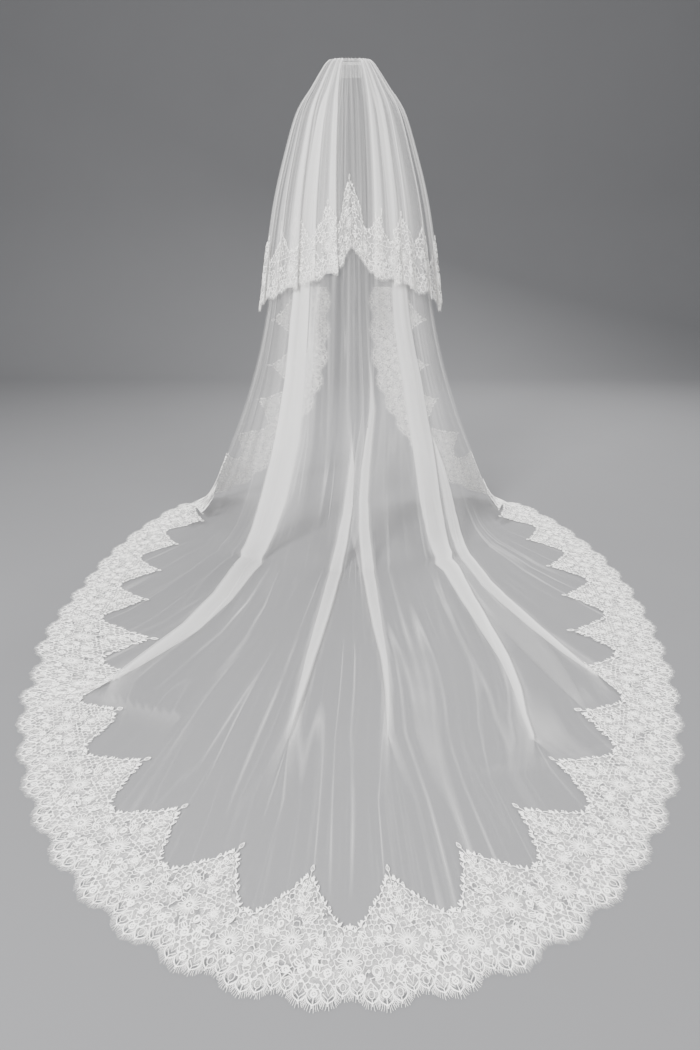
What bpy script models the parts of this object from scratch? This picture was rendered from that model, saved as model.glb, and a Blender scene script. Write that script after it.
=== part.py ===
"""Two-tier cathedral bridal veil, worn: a short tier over a long one whose train lies on the floor.

Metres, +Z up. The origin is the middle of the comb's top edge, on the crown of the head. The back
of the veil and its train run towards -Y, and the two front edges hang on the +Y side.

Both tiers are one drape. A place on it is a strand, from -1 at the left front edge through 0 at
the centre back to 1 at the right front edge, and a level, which counts the rings of the table
below from the comb down and, past the last ring, metres out along the floor.
"""

import math
from collections import namedtuple

import bmesh
import bpy
import numpy as np
from mathutils import Vector

# Driving dimensions, in metres
COMB_HEIGHT = 1.65
TULLE_WALL = 0.0012
LACE_WALL = 0.0012
SEAM_GAP = 0.0003

TRAIN_HALF_WIDTH = 0.93
TRAIN_CENTRE = 0.80
TRAIN_NEAR_REACH = 1.37
TRAIN_FAR_REACH = 1.27
TRAIN_LAST_ANGLE = 128

BORDER_PEAKS = 34
BORDER_PEAK_DEPTH = 0.268
BORDER_VALLEY_DEPTH = 0.125
BORDER_SCALLOP = 0.024
SCALLOPS_PER_PEAK = 2
BORDER_TOP_HEIGHT = 0.90
LACE_LIFT_ON_DRAPE = 0.014
TULLE_STOPS_SHORT = 0.035

SHORT_EDGE_STRAND = 0.60
SHORT_PEAKS = 9
SHORT_PEAK_DEPTH = 0.27
SHORT_VALLEY_DEPTH = 0.12
EDGE_SHARPNESS = 1.1
SHORT_SCALLOP = 0.014
SHORT_TULLE_STOPS = 0.020

COMB_HALF_WIDTH = 0.040
COMB_THICKNESS = 0.0030
COMB_BAR = 0.009
COMB_TEETH = 16
COMB_TOOTH_LENGTH = 0.038
COMB_TOOTH_SHARE = 0.42

# The drape, ring by ring from the comb to the floor: height above the floor, half width at the
# sides, reach of the back and of the front, and each front edge's distance from the middle.
Ring = namedtuple("Ring", "height half_width back front edge")
RINGS = [
    Ring(1.650, 0.062, 0.007, 0.007, 0.042),
    Ring(1.652, 0.068, 0.026, 0.024, 0.043),
    Ring(1.642, 0.078, 0.050, 0.045, 0.044),
    Ring(1.610, 0.097, 0.078, 0.069, 0.047),
    Ring(1.560, 0.125, 0.102, 0.089, 0.051),
    Ring(1.490, 0.168, 0.122, 0.105, 0.055),
    Ring(1.350, 0.213, 0.142, 0.122, 0.060),
    Ring(1.200, 0.252, 0.162, 0.137, 0.064),
    Ring(1.000, 0.289, 0.190, 0.156, 0.067),
    Ring(0.820, 0.318, 0.217, 0.173, 0.070),
    Ring(0.660, 0.356, 0.250, 0.188, 0.072),
    Ring(0.520, 0.400, 0.288, 0.204, 0.074),
    Ring(0.400, 0.444, 0.330, 0.219, 0.075),
    Ring(0.290, 0.491, 0.380, 0.234, 0.076),
    Ring(0.190, 0.534, 0.436, 0.247, 0.077),
    Ring(0.100, 0.580, 0.502, 0.258, 0.078),
    Ring(0.035, 0.632, 0.570, 0.265, 0.079),
    Ring(0.000, 0.700, 0.650, 0.270, 0.080),
]
FLOOR_LEVEL = len(RINGS) - 1

# Where the hem leaves the floor and climbs to the rounded front corner: turn round the wearer
# from the centre back, in degrees, and height.
LiftPoint = namedtuple("LiftPoint", "turn height")
HEM_LIFT = [
    LiftPoint(119, 0.000),
    LiftPoint(131, 0.035),
    LiftPoint(141, 0.110),
    LiftPoint(150, 0.220),
    LiftPoint(158, 0.340),
    LiftPoint(164, 0.460),
    LiftPoint(167, 0.580),
]

# The short tier: its hem's height and how far it stands off the long tier at the hem, by strand.
ShortHem = namedtuple("ShortHem", "strand height standoff")
SHORT_HEM = [
    ShortHem(0.00, 1.030, 0.012),
    ShortHem(0.18, 0.955, 0.016),
    ShortHem(0.36, 0.885, 0.020),
    ShortHem(0.50, 0.835, 0.026),
    ShortHem(0.60, 0.790, 0.034),
]
SHORT_RIDGE_RISE = 0.004
SHORT_STANDOFF_AT_COMB = 0.0035

# The folds that stand on the train like ribbons: strand, how far out on the floor each one dies
# away, and its height.
Ridge = namedtuple("Ridge", "strand reach height")
RIDGES = [
    Ridge(-0.215, 0.66, 0.024),
    Ridge(-0.052, 0.98, 0.020),
    Ridge(0.045, 0.80, 0.018),
    Ridge(0.152, 0.90, 0.024),
    Ridge(0.245, 0.54, 0.022),
]
RIDGE_HALF_WIDTH = 0.018
RIDGE_TOP_LEVEL = 8.0

FLUTE_HEIGHT = 0.010
FLUTE_PERIOD = 0.13
FLUTE_LAST_STRAND = 0.45
FLUTE_FADE_SHARE = 0.6
RIDGE_FALL_SHARE = 0.4
SWEEP = 0.5
SWEEP_FIRST_LEVEL = len(RINGS) - 4
SWEEP_FULL_OUT = 0.6
SWEEP_LAST_TURN = math.radians(110)

# The last strand of the long tier whose cloth ends on the hem, not on a front edge
LAST_HEM_STRAND = 0.985

# Mesh resolution
STRAND_SLACK = 0.1
SOFTENING_PASSES = 60
RIDGE_CLEARANCE = 1.6
TULLE_COLUMNS = 32
TULLE_ROWS = 22
TURN_DENSITY = 1.6
COLUMNS_PER_PEAK = 6
LACE_ROWS = 5
SHORT_LACE_ROWS = 4
SHORT_TULLE_COLUMNS = 30
SHORT_TULLE_ROWS = 9
BORDER_STEPS = 360
WALK_STEP = 0.01
BISECTIONS = 40
NUDGE = 1e-4
TINY = 1e-12


def ring_column(name, level):
    """A column of the ring table, read smoothly between rings and without overshoot."""
    values = np.array([getattr(ring, name) for ring in RINGS])
    slope = np.diff(values)
    product = slope[1:] * slope[:-1]
    total = slope[1:] + slope[:-1]
    inner = np.where(product > 0, 2 * product / np.where(total == 0, 1, total), 0)
    tangent = np.concatenate([slope[:1], inner, slope[-1:]])
    row = np.clip(np.floor(level), 0, FLOOR_LEVEL - 1).astype(int)
    t = np.clip(level - row, 0, 1)
    near = values[row] * (1 + 2 * t) * (1 - t) ** 2 + values[row + 1] * t * t * (3 - 2 * t)
    bent = tangent[row] * t * (1 - t) ** 2 + tangent[row + 1] * t * t * (t - 1)
    return near + bent


def ramp(value, start, end):
    """0 at start, 1 at end, with a soft rise between."""
    t = np.clip((value - start) / (end - start), 0, 1)
    return t * t * (3 - 2 * t)


def solve(function, target, low, high):
    """Where a rising function reaches its target, for every entry at once."""
    low = np.full(np.shape(target), float(low))
    high = np.full(np.shape(target), float(high))
    for _ in range(BISECTIONS):
        middle = (low + high) / 2
        short = function(middle) < target
        low = np.where(short, middle, low)
        high = np.where(short, high, middle)
    return (low + high) / 2


def edge_turn(level):
    """The turn from the centre back to a front edge."""
    return math.pi - np.arcsin(ring_column("edge", level) / ring_column("half_width", level))


def turn_of(strand, level):
    """The turn round the wearer at which a strand hangs or lies. The train is pulled backwards,
    so its strands sweep towards the centre as they run out."""
    hanging = strand * edge_turn(level)
    window = np.cos(np.clip(np.abs(hanging) / SWEEP_LAST_TURN, 0, 1) * math.pi / 2) ** 2
    swept = SWEEP * window * ramp(level, SWEEP_FIRST_LEVEL, FLOOR_LEVEL + SWEEP_FULL_OUT)
    return hanging * (1 - swept)


def ring_point(turn, level):
    """The smooth drape, with no folds."""
    out = np.maximum(level - FLOOR_LEVEL, 0)
    width = ring_column("half_width", level) + out
    back = ring_column("back", level) + out
    front = ring_column("front", level) + out
    reach = np.where(np.cos(turn) > 0, back, front)
    height = ring_column("height", level) - COMB_HEIGHT
    return np.stack([width * np.sin(turn), -reach * np.cos(turn), height], axis=-1)


def smooth_point(strand, level):
    return ring_point(turn_of(strand, level), level)


def along_strand_and_level(strand, level):
    """The smooth drape's two directions: across the strands, and down or out along one."""
    across = smooth_point(strand + NUDGE, level) - smooth_point(strand - NUDGE, level)
    along = smooth_point(strand, level + NUDGE) - smooth_point(strand, level - NUDGE)
    return across / (2 * NUDGE), along / (2 * NUDGE)


def unit(vector):
    return vector / np.maximum(np.linalg.norm(vector, axis=-1, keepdims=True), TINY)


def outward(strand, level):
    across, along = along_strand_and_level(strand, level)
    return unit(np.cross(along, across))


def fold_height(strand, level):
    """How far the folds push the cloth out: soft flutes round the back, and the long ridges."""
    fade = ramp(level, 3, 8) * (1 - ramp(level, FLOOR_LEVEL - 5, FLOOR_LEVEL - 1))
    inside = 1 - ramp(np.abs(strand), FLUTE_LAST_STRAND * FLUTE_FADE_SHARE, FLUTE_LAST_STRAND)
    waves = 0.5 - 0.5 * np.cos(2 * math.pi * strand / FLUTE_PERIOD)
    height = FLUTE_HEIGHT * waves * fade * inside
    for ridge in RIDGES:
        shape = np.clip(1 - np.abs(strand - ridge.strand) / RIDGE_HALF_WIDTH, 0, 1)
        rise = ramp(level, RIDGE_TOP_LEVEL, FLOOR_LEVEL - 2)
        fall = 1 - ramp(level, FLOOR_LEVEL + ridge.reach * RIDGE_FALL_SHARE, FLOOR_LEVEL + ridge.reach)
        height = np.maximum(height, ridge.height * shape * rise * fall)
    return height


def draped_point(strand, level, lift=0.0):
    """A place on the folded drape, lifted off it along its outward side."""
    push = fold_height(strand, level) + lift
    return smooth_point(strand, level) + outward(strand, level) * np.expand_dims(push, -1)


def level_at_height(height):
    return solve(lambda level: -ring_column("height", level), -np.asarray(height, float), 1, FLOOR_LEVEL)


def strand_at(turn, level):
    return solve(lambda strand: turn_of(strand, level), turn, -STRAND_SLACK, 1 + STRAND_SLACK)


def train_oval():
    """The right half of the train's outline on the floor, as turns and levels."""
    angle = np.radians(np.linspace(0, TRAIN_LAST_ANGLE, BORDER_STEPS))
    reach = np.where(np.cos(angle) > 0, TRAIN_NEAR_REACH, TRAIN_FAR_REACH)
    x = TRAIN_HALF_WIDTH * np.sin(angle)
    y = -TRAIN_CENTRE - reach * np.cos(angle)
    last = RINGS[-1]
    depth = np.where(y < 0, last.back, last.front)

    def inside(out):
        return -((x / (last.half_width + out)) ** 2) - (y / (depth + out)) ** 2

    out = solve(inside, np.full(angle.shape, -1.0), -last.front / 2, TRAIN_NEAR_REACH * 2)
    turn = np.arctan2(x / (last.half_width + out), -y / (depth + out))
    on_floor = out > 0
    return turn[on_floor], FLOOR_LEVEL + out[on_floor]


def border_line():
    """The hem and front edges as one line of equal steps: strands, levels and length, from the
    top of the left edge's lace round the train to the top of the right edge's."""
    oval_turn, oval_level = train_oval()
    lift_turn = np.radians([p.turn for p in HEM_LIFT])
    lift_level = level_at_height([p.height for p in HEM_LIFT])
    edge_level = level_at_height(np.linspace(HEM_LIFT[-1].height + 0.08, BORDER_TOP_HEIGHT, 8))
    turn = np.concatenate([oval_turn, lift_turn, edge_turn(edge_level)])
    level = np.concatenate([oval_level, lift_level, edge_level])
    strand = strand_at(turn, level)
    strand = np.concatenate([-strand[:0:-1], strand])
    level = np.concatenate([level[:0:-1], level])
    for _ in range(2):
        length = line_length(smooth_point(strand, level))
        even = np.linspace(0, length[-1], 2 * BORDER_STEPS + 1)
        strand = soften(np.interp(even, length, strand))
        level = soften(np.interp(even, length, level))
    length = line_length(smooth_point(strand, level))
    return strand, level, length - length[-1] / 2


def line_length(points):
    steps = np.linalg.norm(np.diff(points, axis=0), axis=-1)
    return np.concatenate([[0.0], np.cumsum(steps)])


def soften(values):
    """Rounds a line's corners and keeps its two ends."""
    for _ in range(SOFTENING_PASSES):
        values = np.concatenate([values[:1], (values[:-2] + values[1:-1] + values[2:]) / 3, values[-1:]])
    return values


def short_hem_line():
    """The short tier's hem as one line of equal steps, from its left corner to its right."""
    side = np.array([row.strand for row in SHORT_HEM])
    strand = np.linspace(-SHORT_EDGE_STRAND, SHORT_EDGE_STRAND, BORDER_STEPS + 1)
    level = level_at_height(np.interp(np.abs(strand), side, [row.height for row in SHORT_HEM]))
    length = line_length(smooth_point(strand, level))
    even = np.linspace(0, length[-1], BORDER_STEPS + 1)
    strand = np.interp(even, length, strand)
    level = soften(np.interp(even, length, level))
    return strand, level, even - length[-1] / 2


def walk_inward(strand, level, distance):
    """Straight lines over the drape, square to a border line and away from it: the strand and
    level of each step, one row of the result for each step."""
    heading_line = np.gradient(smooth_point(strand, level), axis=0)
    heading = unit(np.cross(outward(strand, level), heading_line))
    rows = [(strand, level)]
    for _ in range(round(distance / WALK_STEP)):
        across, along = along_strand_and_level(strand, level)
        aa, bb = (across**2).sum(-1), (along**2).sum(-1)
        ab = (across * along).sum(-1)
        ha, hb = (heading * across).sum(-1), (heading * along).sum(-1)
        area = aa * bb - ab * ab
        strand = strand + WALK_STEP * (ha * bb - hb * ab) / area
        level = level + WALK_STEP * (hb * aa - ha * ab) / area
        normal = outward(strand, level)
        heading = unit(heading - normal * (heading * normal).sum(-1, keepdims=True))
        rows.append((strand, level))
    return np.array(rows)


class Border:
    """The band of cloth along a border line, addressed by distance along it and in from it."""

    def __init__(self, line, depth):
        self.strand, self.level, self.length = line
        self.depth = depth
        self.rows = walk_inward(self.strand, self.level, depth + 2 * WALK_STEP)

    def at(self, along, inward):
        step = np.clip(np.asarray(inward) / WALK_STEP, 0, len(self.rows) - 1.001)
        low = np.floor(step).astype(int)
        share = step - low
        place = np.interp(along, self.length, np.arange(len(self.length)))
        left = np.clip(np.floor(place).astype(int), 0, len(self.length) - 2)
        part = place - left
        found = []
        for field in (0, 1):
            grid = self.rows[:, field]
            near = grid[low, left] * (1 - part) + grid[low, left + 1] * part
            far = grid[low + 1, left] * (1 - part) + grid[low + 1, left + 1] * part
            found.append(near * (1 - share) + far * share)
        return found


def saw(value):
    """0 at whole numbers and 1 halfway between, in straight lines."""
    return 1 - np.abs(2 * (value - np.floor(value)) - 1)


def lace_reach(place, peaks, valley, peak):
    """How deep the lace is at a share of the border's length, with pointed peaks inward."""
    return valley + (peak - valley) * saw(place * peaks) ** EDGE_SHARPNESS


def scallop_cut(place, scallops, depth):
    """How far the outer edge is cut back between two scallops."""
    return depth * (1 - np.sin(math.pi * ((place * scallops) % 1.0)))


def material(name, colour, roughness, metallic=0.0):
    made = bpy.data.materials.new(name)
    made.use_nodes = True
    shader = made.node_tree.nodes["Principled BSDF"]
    shader.inputs["Base Color"].default_value = (*colour, 1.0)
    shader.inputs["Roughness"].default_value = roughness
    shader.inputs["Metallic"].default_value = metallic
    return made


def cloth_wall(name, columns, rows, place, wall, finish):
    """A wall of cloth: a flat grid of columns and rows, moved onto the drape by place() and
    given its thickness on its outward side."""
    bm = bmesh.new()
    bmesh.ops.create_grid(bm, x_segments=len(columns) - 1, y_segments=len(rows) - 1, size=1.0)
    across = np.array([v.co.x for v in bm.verts]) * 0.5 + 0.5
    down = np.array([v.co.y for v in bm.verts]) * 0.5 + 0.5
    column = np.rint(across * (len(columns) - 1)).astype(int)
    row = np.rint(down * (len(rows) - 1)).astype(int)
    points, normals = place(np.asarray(columns)[column], np.asarray(rows)[row])
    for vert, point in zip(bm.verts, points):
        vert.co = point
    grid = list(bm.verts)
    extruded = bmesh.ops.extrude_face_region(bm, geom=bm.faces[:])
    outer = [item for item in extruded["geom"] if isinstance(item, bmesh.types.BMVert)]
    bmesh.ops.recalc_face_normals(bm, faces=bm.faces)
    reached = {}
    for vert, normal in zip(grid, normals):
        reached[tuple(vert.co)] = normal
    for vert in outer:
        vert.co = vert.co + Vector(reached[tuple(vert.co)] * wall)
    bmesh.ops.recalc_face_normals(bm, faces=bm.faces)
    mesh = bpy.data.meshes.new(name)
    bm.to_mesh(mesh)
    bm.free()
    mesh.shade_smooth()
    mesh.set_sharp_from_angle(angle=math.radians(50))
    made = bpy.data.objects.new(name, mesh)
    made.data.materials.append(finish)
    bpy.context.scene.collection.objects.link(made)
    return made


def even_levels(strand, last_level, share):
    """The level at a share of a strand's length, from the comb to its last level, with the
    shares closer together where the cloth turns onto the floor."""
    fine = np.linspace(0, 1, 200)
    levels = fine[:, None] * last_level[None, :]
    points = smooth_point(np.broadcast_to(strand, levels.shape), levels)
    steps = np.linalg.norm(np.diff(points, axis=0), axis=-1)
    turning = ramp(levels, FLOOR_LEVEL - 5, FLOOR_LEVEL - 3)
    turning = turning * (1 - ramp(levels, FLOOR_LEVEL + 0.1, FLOOR_LEVEL + 0.4))
    steps = steps * (1 + TURN_DENSITY * turning[1:])
    length = np.vstack([np.zeros(len(strand)), np.cumsum(steps, axis=0)])
    found = np.empty(len(strand))
    for i in range(len(strand)):
        found[i] = np.interp(share[i] * length[-1, i], length[:, i], levels[:, i])
    return found


def tulle_columns(border):
    """The long tier's columns: spread between even strands and even steps along the hem, with
    three more for each ridge, its two feet and its crest."""
    even = np.linspace(-1, 1, TULLE_COLUMNS)
    along = np.linspace(border.length[0], border.length[-1], TULLE_COLUMNS)
    hem = np.interp(along, border.length, border.strand)
    columns = even * 0.5 + hem / np.abs(hem[0]) * 0.5
    for ridge in RIDGES:
        columns = columns[np.abs(columns - ridge.strand) > RIDGE_HALF_WIDTH * RIDGE_CLEARANCE]
        trio = ridge.strand + np.array([-1, 0, 1]) * RIDGE_HALF_WIDTH
        columns = np.concatenate([columns, trio])
    return np.sort(columns)


def build_long_tulle(border, finish):
    stop_strand, stop_level = border.at(border.length, np.full(len(border.length), TULLE_STOPS_SHORT))
    hem_part = np.abs(stop_strand) < LAST_HEM_STRAND
    order = np.argsort(stop_strand[hem_part])
    hem_strand = stop_strand[hem_part][order]
    hem_level = stop_level[hem_part][order]

    def place(column, row):
        last = np.interp(column, hem_strand, hem_level)
        level = even_levels(column, last, row)
        return draped_point(column, level), outward(column, level)

    columns = tulle_columns(border) * np.abs(hem_strand).max()
    rows = np.linspace(0, 1, TULLE_ROWS)
    return cloth_wall("long_tier_tulle", columns, rows, place, TULLE_WALL, finish)


def build_long_lace(border, finish):
    total = border.length[-1] - border.length[0]

    def place(column, row):
        along = border.length[0] + column * total
        cut = scallop_cut(column, BORDER_PEAKS * SCALLOPS_PER_PEAK, BORDER_SCALLOP)
        reach = lace_reach(column, BORDER_PEAKS, BORDER_VALLEY_DEPTH, BORDER_PEAK_DEPTH)
        strand, level = border.at(along, cut + row * (reach - cut))
        hung = 1 - ramp(level, FLOOR_LEVEL + 0.10, FLOOR_LEVEL + 0.36)
        lift = TULLE_WALL + SEAM_GAP + LACE_LIFT_ON_DRAPE * hung
        return draped_point(strand, level, lift), outward(strand, level)

    columns = np.linspace(0, 1, BORDER_PEAKS * COLUMNS_PER_PEAK + 1)
    rows = np.linspace(0, 1, LACE_ROWS)
    return cloth_wall("long_tier_lace_border", columns, rows, place, LACE_WALL, finish)


def short_standoff(strand, level, hem_level):
    """How far the short tier hangs off the long one: close at the comb, free at its hem."""
    side = [row.strand for row in SHORT_HEM]
    at_hem = np.interp(np.abs(strand), side, [row.standoff for row in SHORT_HEM])
    share = ramp(level / hem_level, 0.05, 1.0)
    return SHORT_STANDOFF_AT_COMB + (at_hem - SHORT_STANDOFF_AT_COMB) * share


def short_point(strand, level, lift=0.0):
    side = [row.strand for row in SHORT_HEM]
    height = np.interp(np.abs(strand), side, [row.height for row in SHORT_HEM])
    off = short_standoff(strand, level, level_at_height(height))
    return draped_point(strand, level, off + lift)


def build_short_tulle(border, finish):
    stop_strand, stop_level = border.at(border.length, np.full(len(border.length), SHORT_TULLE_STOPS))

    def place(column, row):
        last = np.interp(column, stop_strand, stop_level)
        level = even_levels(column, last, np.maximum(row, 0))
        points = short_point(column, level)
        normals = outward(column, level)
        ridge = row < 0
        points[ridge, 1] = COMB_THICKNESS
        points[ridge, 2] = SHORT_RIDGE_RISE + RINGS[0].height - COMB_HEIGHT
        normals[ridge] = (0.0, 0.0, 1.0)
        return points, normals

    columns = np.linspace(-SHORT_EDGE_STRAND, SHORT_EDGE_STRAND, SHORT_TULLE_COLUMNS)
    rows = np.concatenate([[-1.0], np.linspace(0, 1, SHORT_TULLE_ROWS) ** 1.3])
    return cloth_wall("short_tier_tulle", columns, rows, place, TULLE_WALL, finish)


def build_short_lace(border, finish):
    total = border.length[-1] - border.length[0]

    def place(column, row):
        along = border.length[0] + column * total
        cut = scallop_cut(column, SHORT_PEAKS * SCALLOPS_PER_PEAK, SHORT_SCALLOP)
        reach = lace_reach(column, SHORT_PEAKS, SHORT_VALLEY_DEPTH, SHORT_PEAK_DEPTH)
        strand, level = border.at(along, cut + row * (reach - cut))
        lift = TULLE_WALL + SEAM_GAP + LACE_LIFT_ON_DRAPE
        return short_point(strand, level, lift), outward(strand, level)

    columns = np.linspace(0, 1, SHORT_PEAKS * COLUMNS_PER_PEAK + 1)
    rows = np.linspace(0, 1, SHORT_LACE_ROWS)
    return cloth_wall("short_tier_lace_border", columns, rows, place, LACE_WALL, finish)


def build_comb(finish):
    """A plain hair comb: a bar with straight teeth, cut as one outline and given its thickness."""
    outline = [(COMB_HALF_WIDTH, 0.0), (-COMB_HALF_WIDTH, 0.0)]
    pitch = 2 * COMB_HALF_WIDTH / (COMB_TEETH - 1 + COMB_TOOTH_SHARE)
    for tooth in range(COMB_TEETH):
        left = -COMB_HALF_WIDTH + tooth * pitch
        right = left + pitch * COMB_TOOTH_SHARE
        tip = -COMB_BAR - COMB_TOOTH_LENGTH
        if tooth:
            outline.append((left, -COMB_BAR))
        outline += [(left, tip), (right, tip)]
        if tooth < COMB_TEETH - 1:
            outline.append((right, -COMB_BAR))
    bm = bmesh.new()
    corners = [bm.verts.new((x, -COMB_THICKNESS / 2, z)) for x, z in outline]
    face = bm.faces.new(corners)
    extruded = bmesh.ops.extrude_face_region(bm, geom=[face])
    moved = [item for item in extruded["geom"] if isinstance(item, bmesh.types.BMVert)]
    bmesh.ops.translate(bm, verts=moved, vec=(0, COMB_THICKNESS, 0))
    bmesh.ops.recalc_face_normals(bm, faces=bm.faces)
    bmesh.ops.triangulate(bm, faces=bm.faces)
    mesh = bpy.data.meshes.new("comb")
    bm.to_mesh(mesh)
    bm.free()
    made = bpy.data.objects.new("comb", mesh)
    made.data.materials.append(finish)
    bpy.context.scene.collection.objects.link(made)
    return made


def main():
    for old in list(bpy.data.objects):
        bpy.data.objects.remove(old)
    tulle = material("white_tulle", (0.80, 0.79, 0.78), 0.75)
    lace = material("ivory_lace", (0.86, 0.83, 0.79), 0.70)
    clear = material("clear_plastic", (0.85, 0.85, 0.83), 0.25)
    build_comb(clear)
    border = Border(border_line(), BORDER_PEAK_DEPTH)
    build_long_tulle(border, tulle)
    build_long_lace(border, lace)
    short = Border(short_hem_line(), SHORT_PEAK_DEPTH)
    build_short_tulle(short, tulle)
    build_short_lace(short, lace)


main()
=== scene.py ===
"""Looks of the two-tier bridal veil: sheer tulle, corded lace with an eyelash hem, and the comb.

Metres, +Z up, in the frame of the CAD model: the origin is the middle of the comb's top edge, and
the train runs towards -Y. Both tiers hang on one drape. A place on it is a strand, from -1 at the
left front edge through 0 at the centre back to 1 at the right front edge, and a level, which
counts the rings of the table below from the comb down and, past the last ring, metres out along
the floor. Lace is drawn flat, one repeat at a time, and then laid on the drape along its hem.
"""

import math
from collections import namedtuple

import bmesh
import bpy
import numpy as np
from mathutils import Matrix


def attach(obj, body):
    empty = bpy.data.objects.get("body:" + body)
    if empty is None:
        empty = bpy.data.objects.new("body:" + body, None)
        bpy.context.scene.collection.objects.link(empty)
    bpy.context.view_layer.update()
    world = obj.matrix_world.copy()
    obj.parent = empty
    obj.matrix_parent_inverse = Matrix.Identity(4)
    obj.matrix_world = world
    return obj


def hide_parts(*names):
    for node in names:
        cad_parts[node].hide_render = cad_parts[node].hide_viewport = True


bl_info = {
    "name": "Bridal veil looks",
    "version": (1, 0, 0),
    "blender": (4, 5, 0),
    "location": "View3D > Sidebar > Veil",
    "description": "Tulle, lace, comb and studio for a two-tier bridal veil",
    "category": "Object",
}

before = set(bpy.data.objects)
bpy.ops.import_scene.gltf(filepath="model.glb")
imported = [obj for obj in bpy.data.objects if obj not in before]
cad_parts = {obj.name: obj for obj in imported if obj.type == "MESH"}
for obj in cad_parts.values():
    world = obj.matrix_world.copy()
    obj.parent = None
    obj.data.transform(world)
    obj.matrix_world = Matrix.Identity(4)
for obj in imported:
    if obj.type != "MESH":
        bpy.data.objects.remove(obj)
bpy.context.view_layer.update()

# Driving dimensions, in metres
COMB_HEIGHT = 1.65

TRAIN_HALF_WIDTH = 0.93
TRAIN_CENTRE = 0.80
TRAIN_NEAR_REACH = 1.37
TRAIN_FAR_REACH = 1.27
TRAIN_LAST_ANGLE = 128

BORDER_PEAKS = 34
BORDER_PEAK_DEPTH = 0.268
BORDER_VALLEY_DEPTH = 0.125
BORDER_TOP_HEIGHT = 0.90
TULLE_STOPS_SHORT = 0.035

SHORT_EDGE_STRAND = 0.60
SHORT_PEAKS = 9
SHORT_PEAK_DEPTH = 0.27
EDGE_SHARPNESS = 1.1
SHORT_TULLE_STOPS = 0.020

COMB_THICKNESS = 0.0030

# The drape, ring by ring from the comb to the floor: height above the floor, half width at the
# sides, reach of the back and of the front, and each front edge's distance from the middle.
Ring = namedtuple("Ring", "height half_width back front edge")
RINGS = [
    Ring(1.650, 0.062, 0.007, 0.007, 0.042),
    Ring(1.652, 0.068, 0.026, 0.024, 0.043),
    Ring(1.642, 0.078, 0.050, 0.045, 0.044),
    Ring(1.610, 0.097, 0.078, 0.069, 0.047),
    Ring(1.560, 0.125, 0.102, 0.089, 0.051),
    Ring(1.490, 0.168, 0.122, 0.105, 0.055),
    Ring(1.350, 0.213, 0.142, 0.122, 0.060),
    Ring(1.200, 0.252, 0.162, 0.137, 0.064),
    Ring(1.000, 0.289, 0.190, 0.156, 0.067),
    Ring(0.820, 0.318, 0.217, 0.173, 0.070),
    Ring(0.660, 0.356, 0.250, 0.188, 0.072),
    Ring(0.520, 0.400, 0.288, 0.204, 0.074),
    Ring(0.400, 0.444, 0.330, 0.219, 0.075),
    Ring(0.290, 0.491, 0.380, 0.234, 0.076),
    Ring(0.190, 0.534, 0.436, 0.247, 0.077),
    Ring(0.100, 0.580, 0.502, 0.258, 0.078),
    Ring(0.035, 0.632, 0.570, 0.265, 0.079),
    Ring(0.000, 0.700, 0.650, 0.270, 0.080),
]
FLOOR_LEVEL = len(RINGS) - 1

# Where the hem leaves the floor and climbs to the rounded front corner: turn round the wearer
# from the centre back, in degrees, and height.
LiftPoint = namedtuple("LiftPoint", "turn height")
HEM_LIFT = [
    LiftPoint(119, 0.000),
    LiftPoint(131, 0.035),
    LiftPoint(141, 0.110),
    LiftPoint(150, 0.220),
    LiftPoint(158, 0.340),
    LiftPoint(164, 0.460),
    LiftPoint(167, 0.580),
]

# The short tier: its hem's height and how far it stands off the long tier at the hem, by strand.
ShortHem = namedtuple("ShortHem", "strand height standoff")
SHORT_HEM = [
    ShortHem(0.00, 1.030, 0.012),
    ShortHem(0.18, 0.955, 0.016),
    ShortHem(0.36, 0.885, 0.020),
    ShortHem(0.50, 0.835, 0.026),
    ShortHem(0.60, 0.790, 0.034),
]
SHORT_RIDGE_RISE = 0.004
SHORT_STANDOFF_AT_COMB = 0.0035

SWEEP = 0.5
SWEEP_LAST_TURN = math.radians(110)
BORDER_STEPS = 360
WALK_STEP = 0.01
BISECTIONS = 40
NUDGE = 1e-4
TINY = 1e-12
TULLE_LIFT = 0.0008
LACE_LIFT = 0.0030
CORD_LIFT = 0.0008
LAST_STRAND = 0.985
LONG_COLUMNS = 430
LONG_ROWS = 200
SHORT_COLUMNS = 250
SHORT_ROWS = 118
RIDGE_ROWS = 6
LACE_STRETCHES = 4
SHORT_UPRIGHT = 0.97

FLOOR_HEIGHT = -COMB_HEIGHT
FLOOR_NEAR = -6.0
FLOOR_FAR = 3.0
FLOOR_HALF_WIDTH = 9.0
SWEEP_START = 0.4
SWEEP_RADIUS = 1.5
BACKDROP_HEIGHT = 6.0
# Name, place, what it is aimed at, size in metres and power in watts
LIGHTS = (
    ("key_softbox", (-2.2, -3.6, 1.6), (0.0, -0.7, -1.1), 1.3, 520.0),
    ("fill_softbox", (2.6, -3.2, 1.2), (0.0, -0.7, -1.1), 2.4, 150.0),
    ("rim_softbox", (1.2, 2.4, 1.5), (0.0, -0.6, -1.0), 1.4, 300.0),
)

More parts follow.
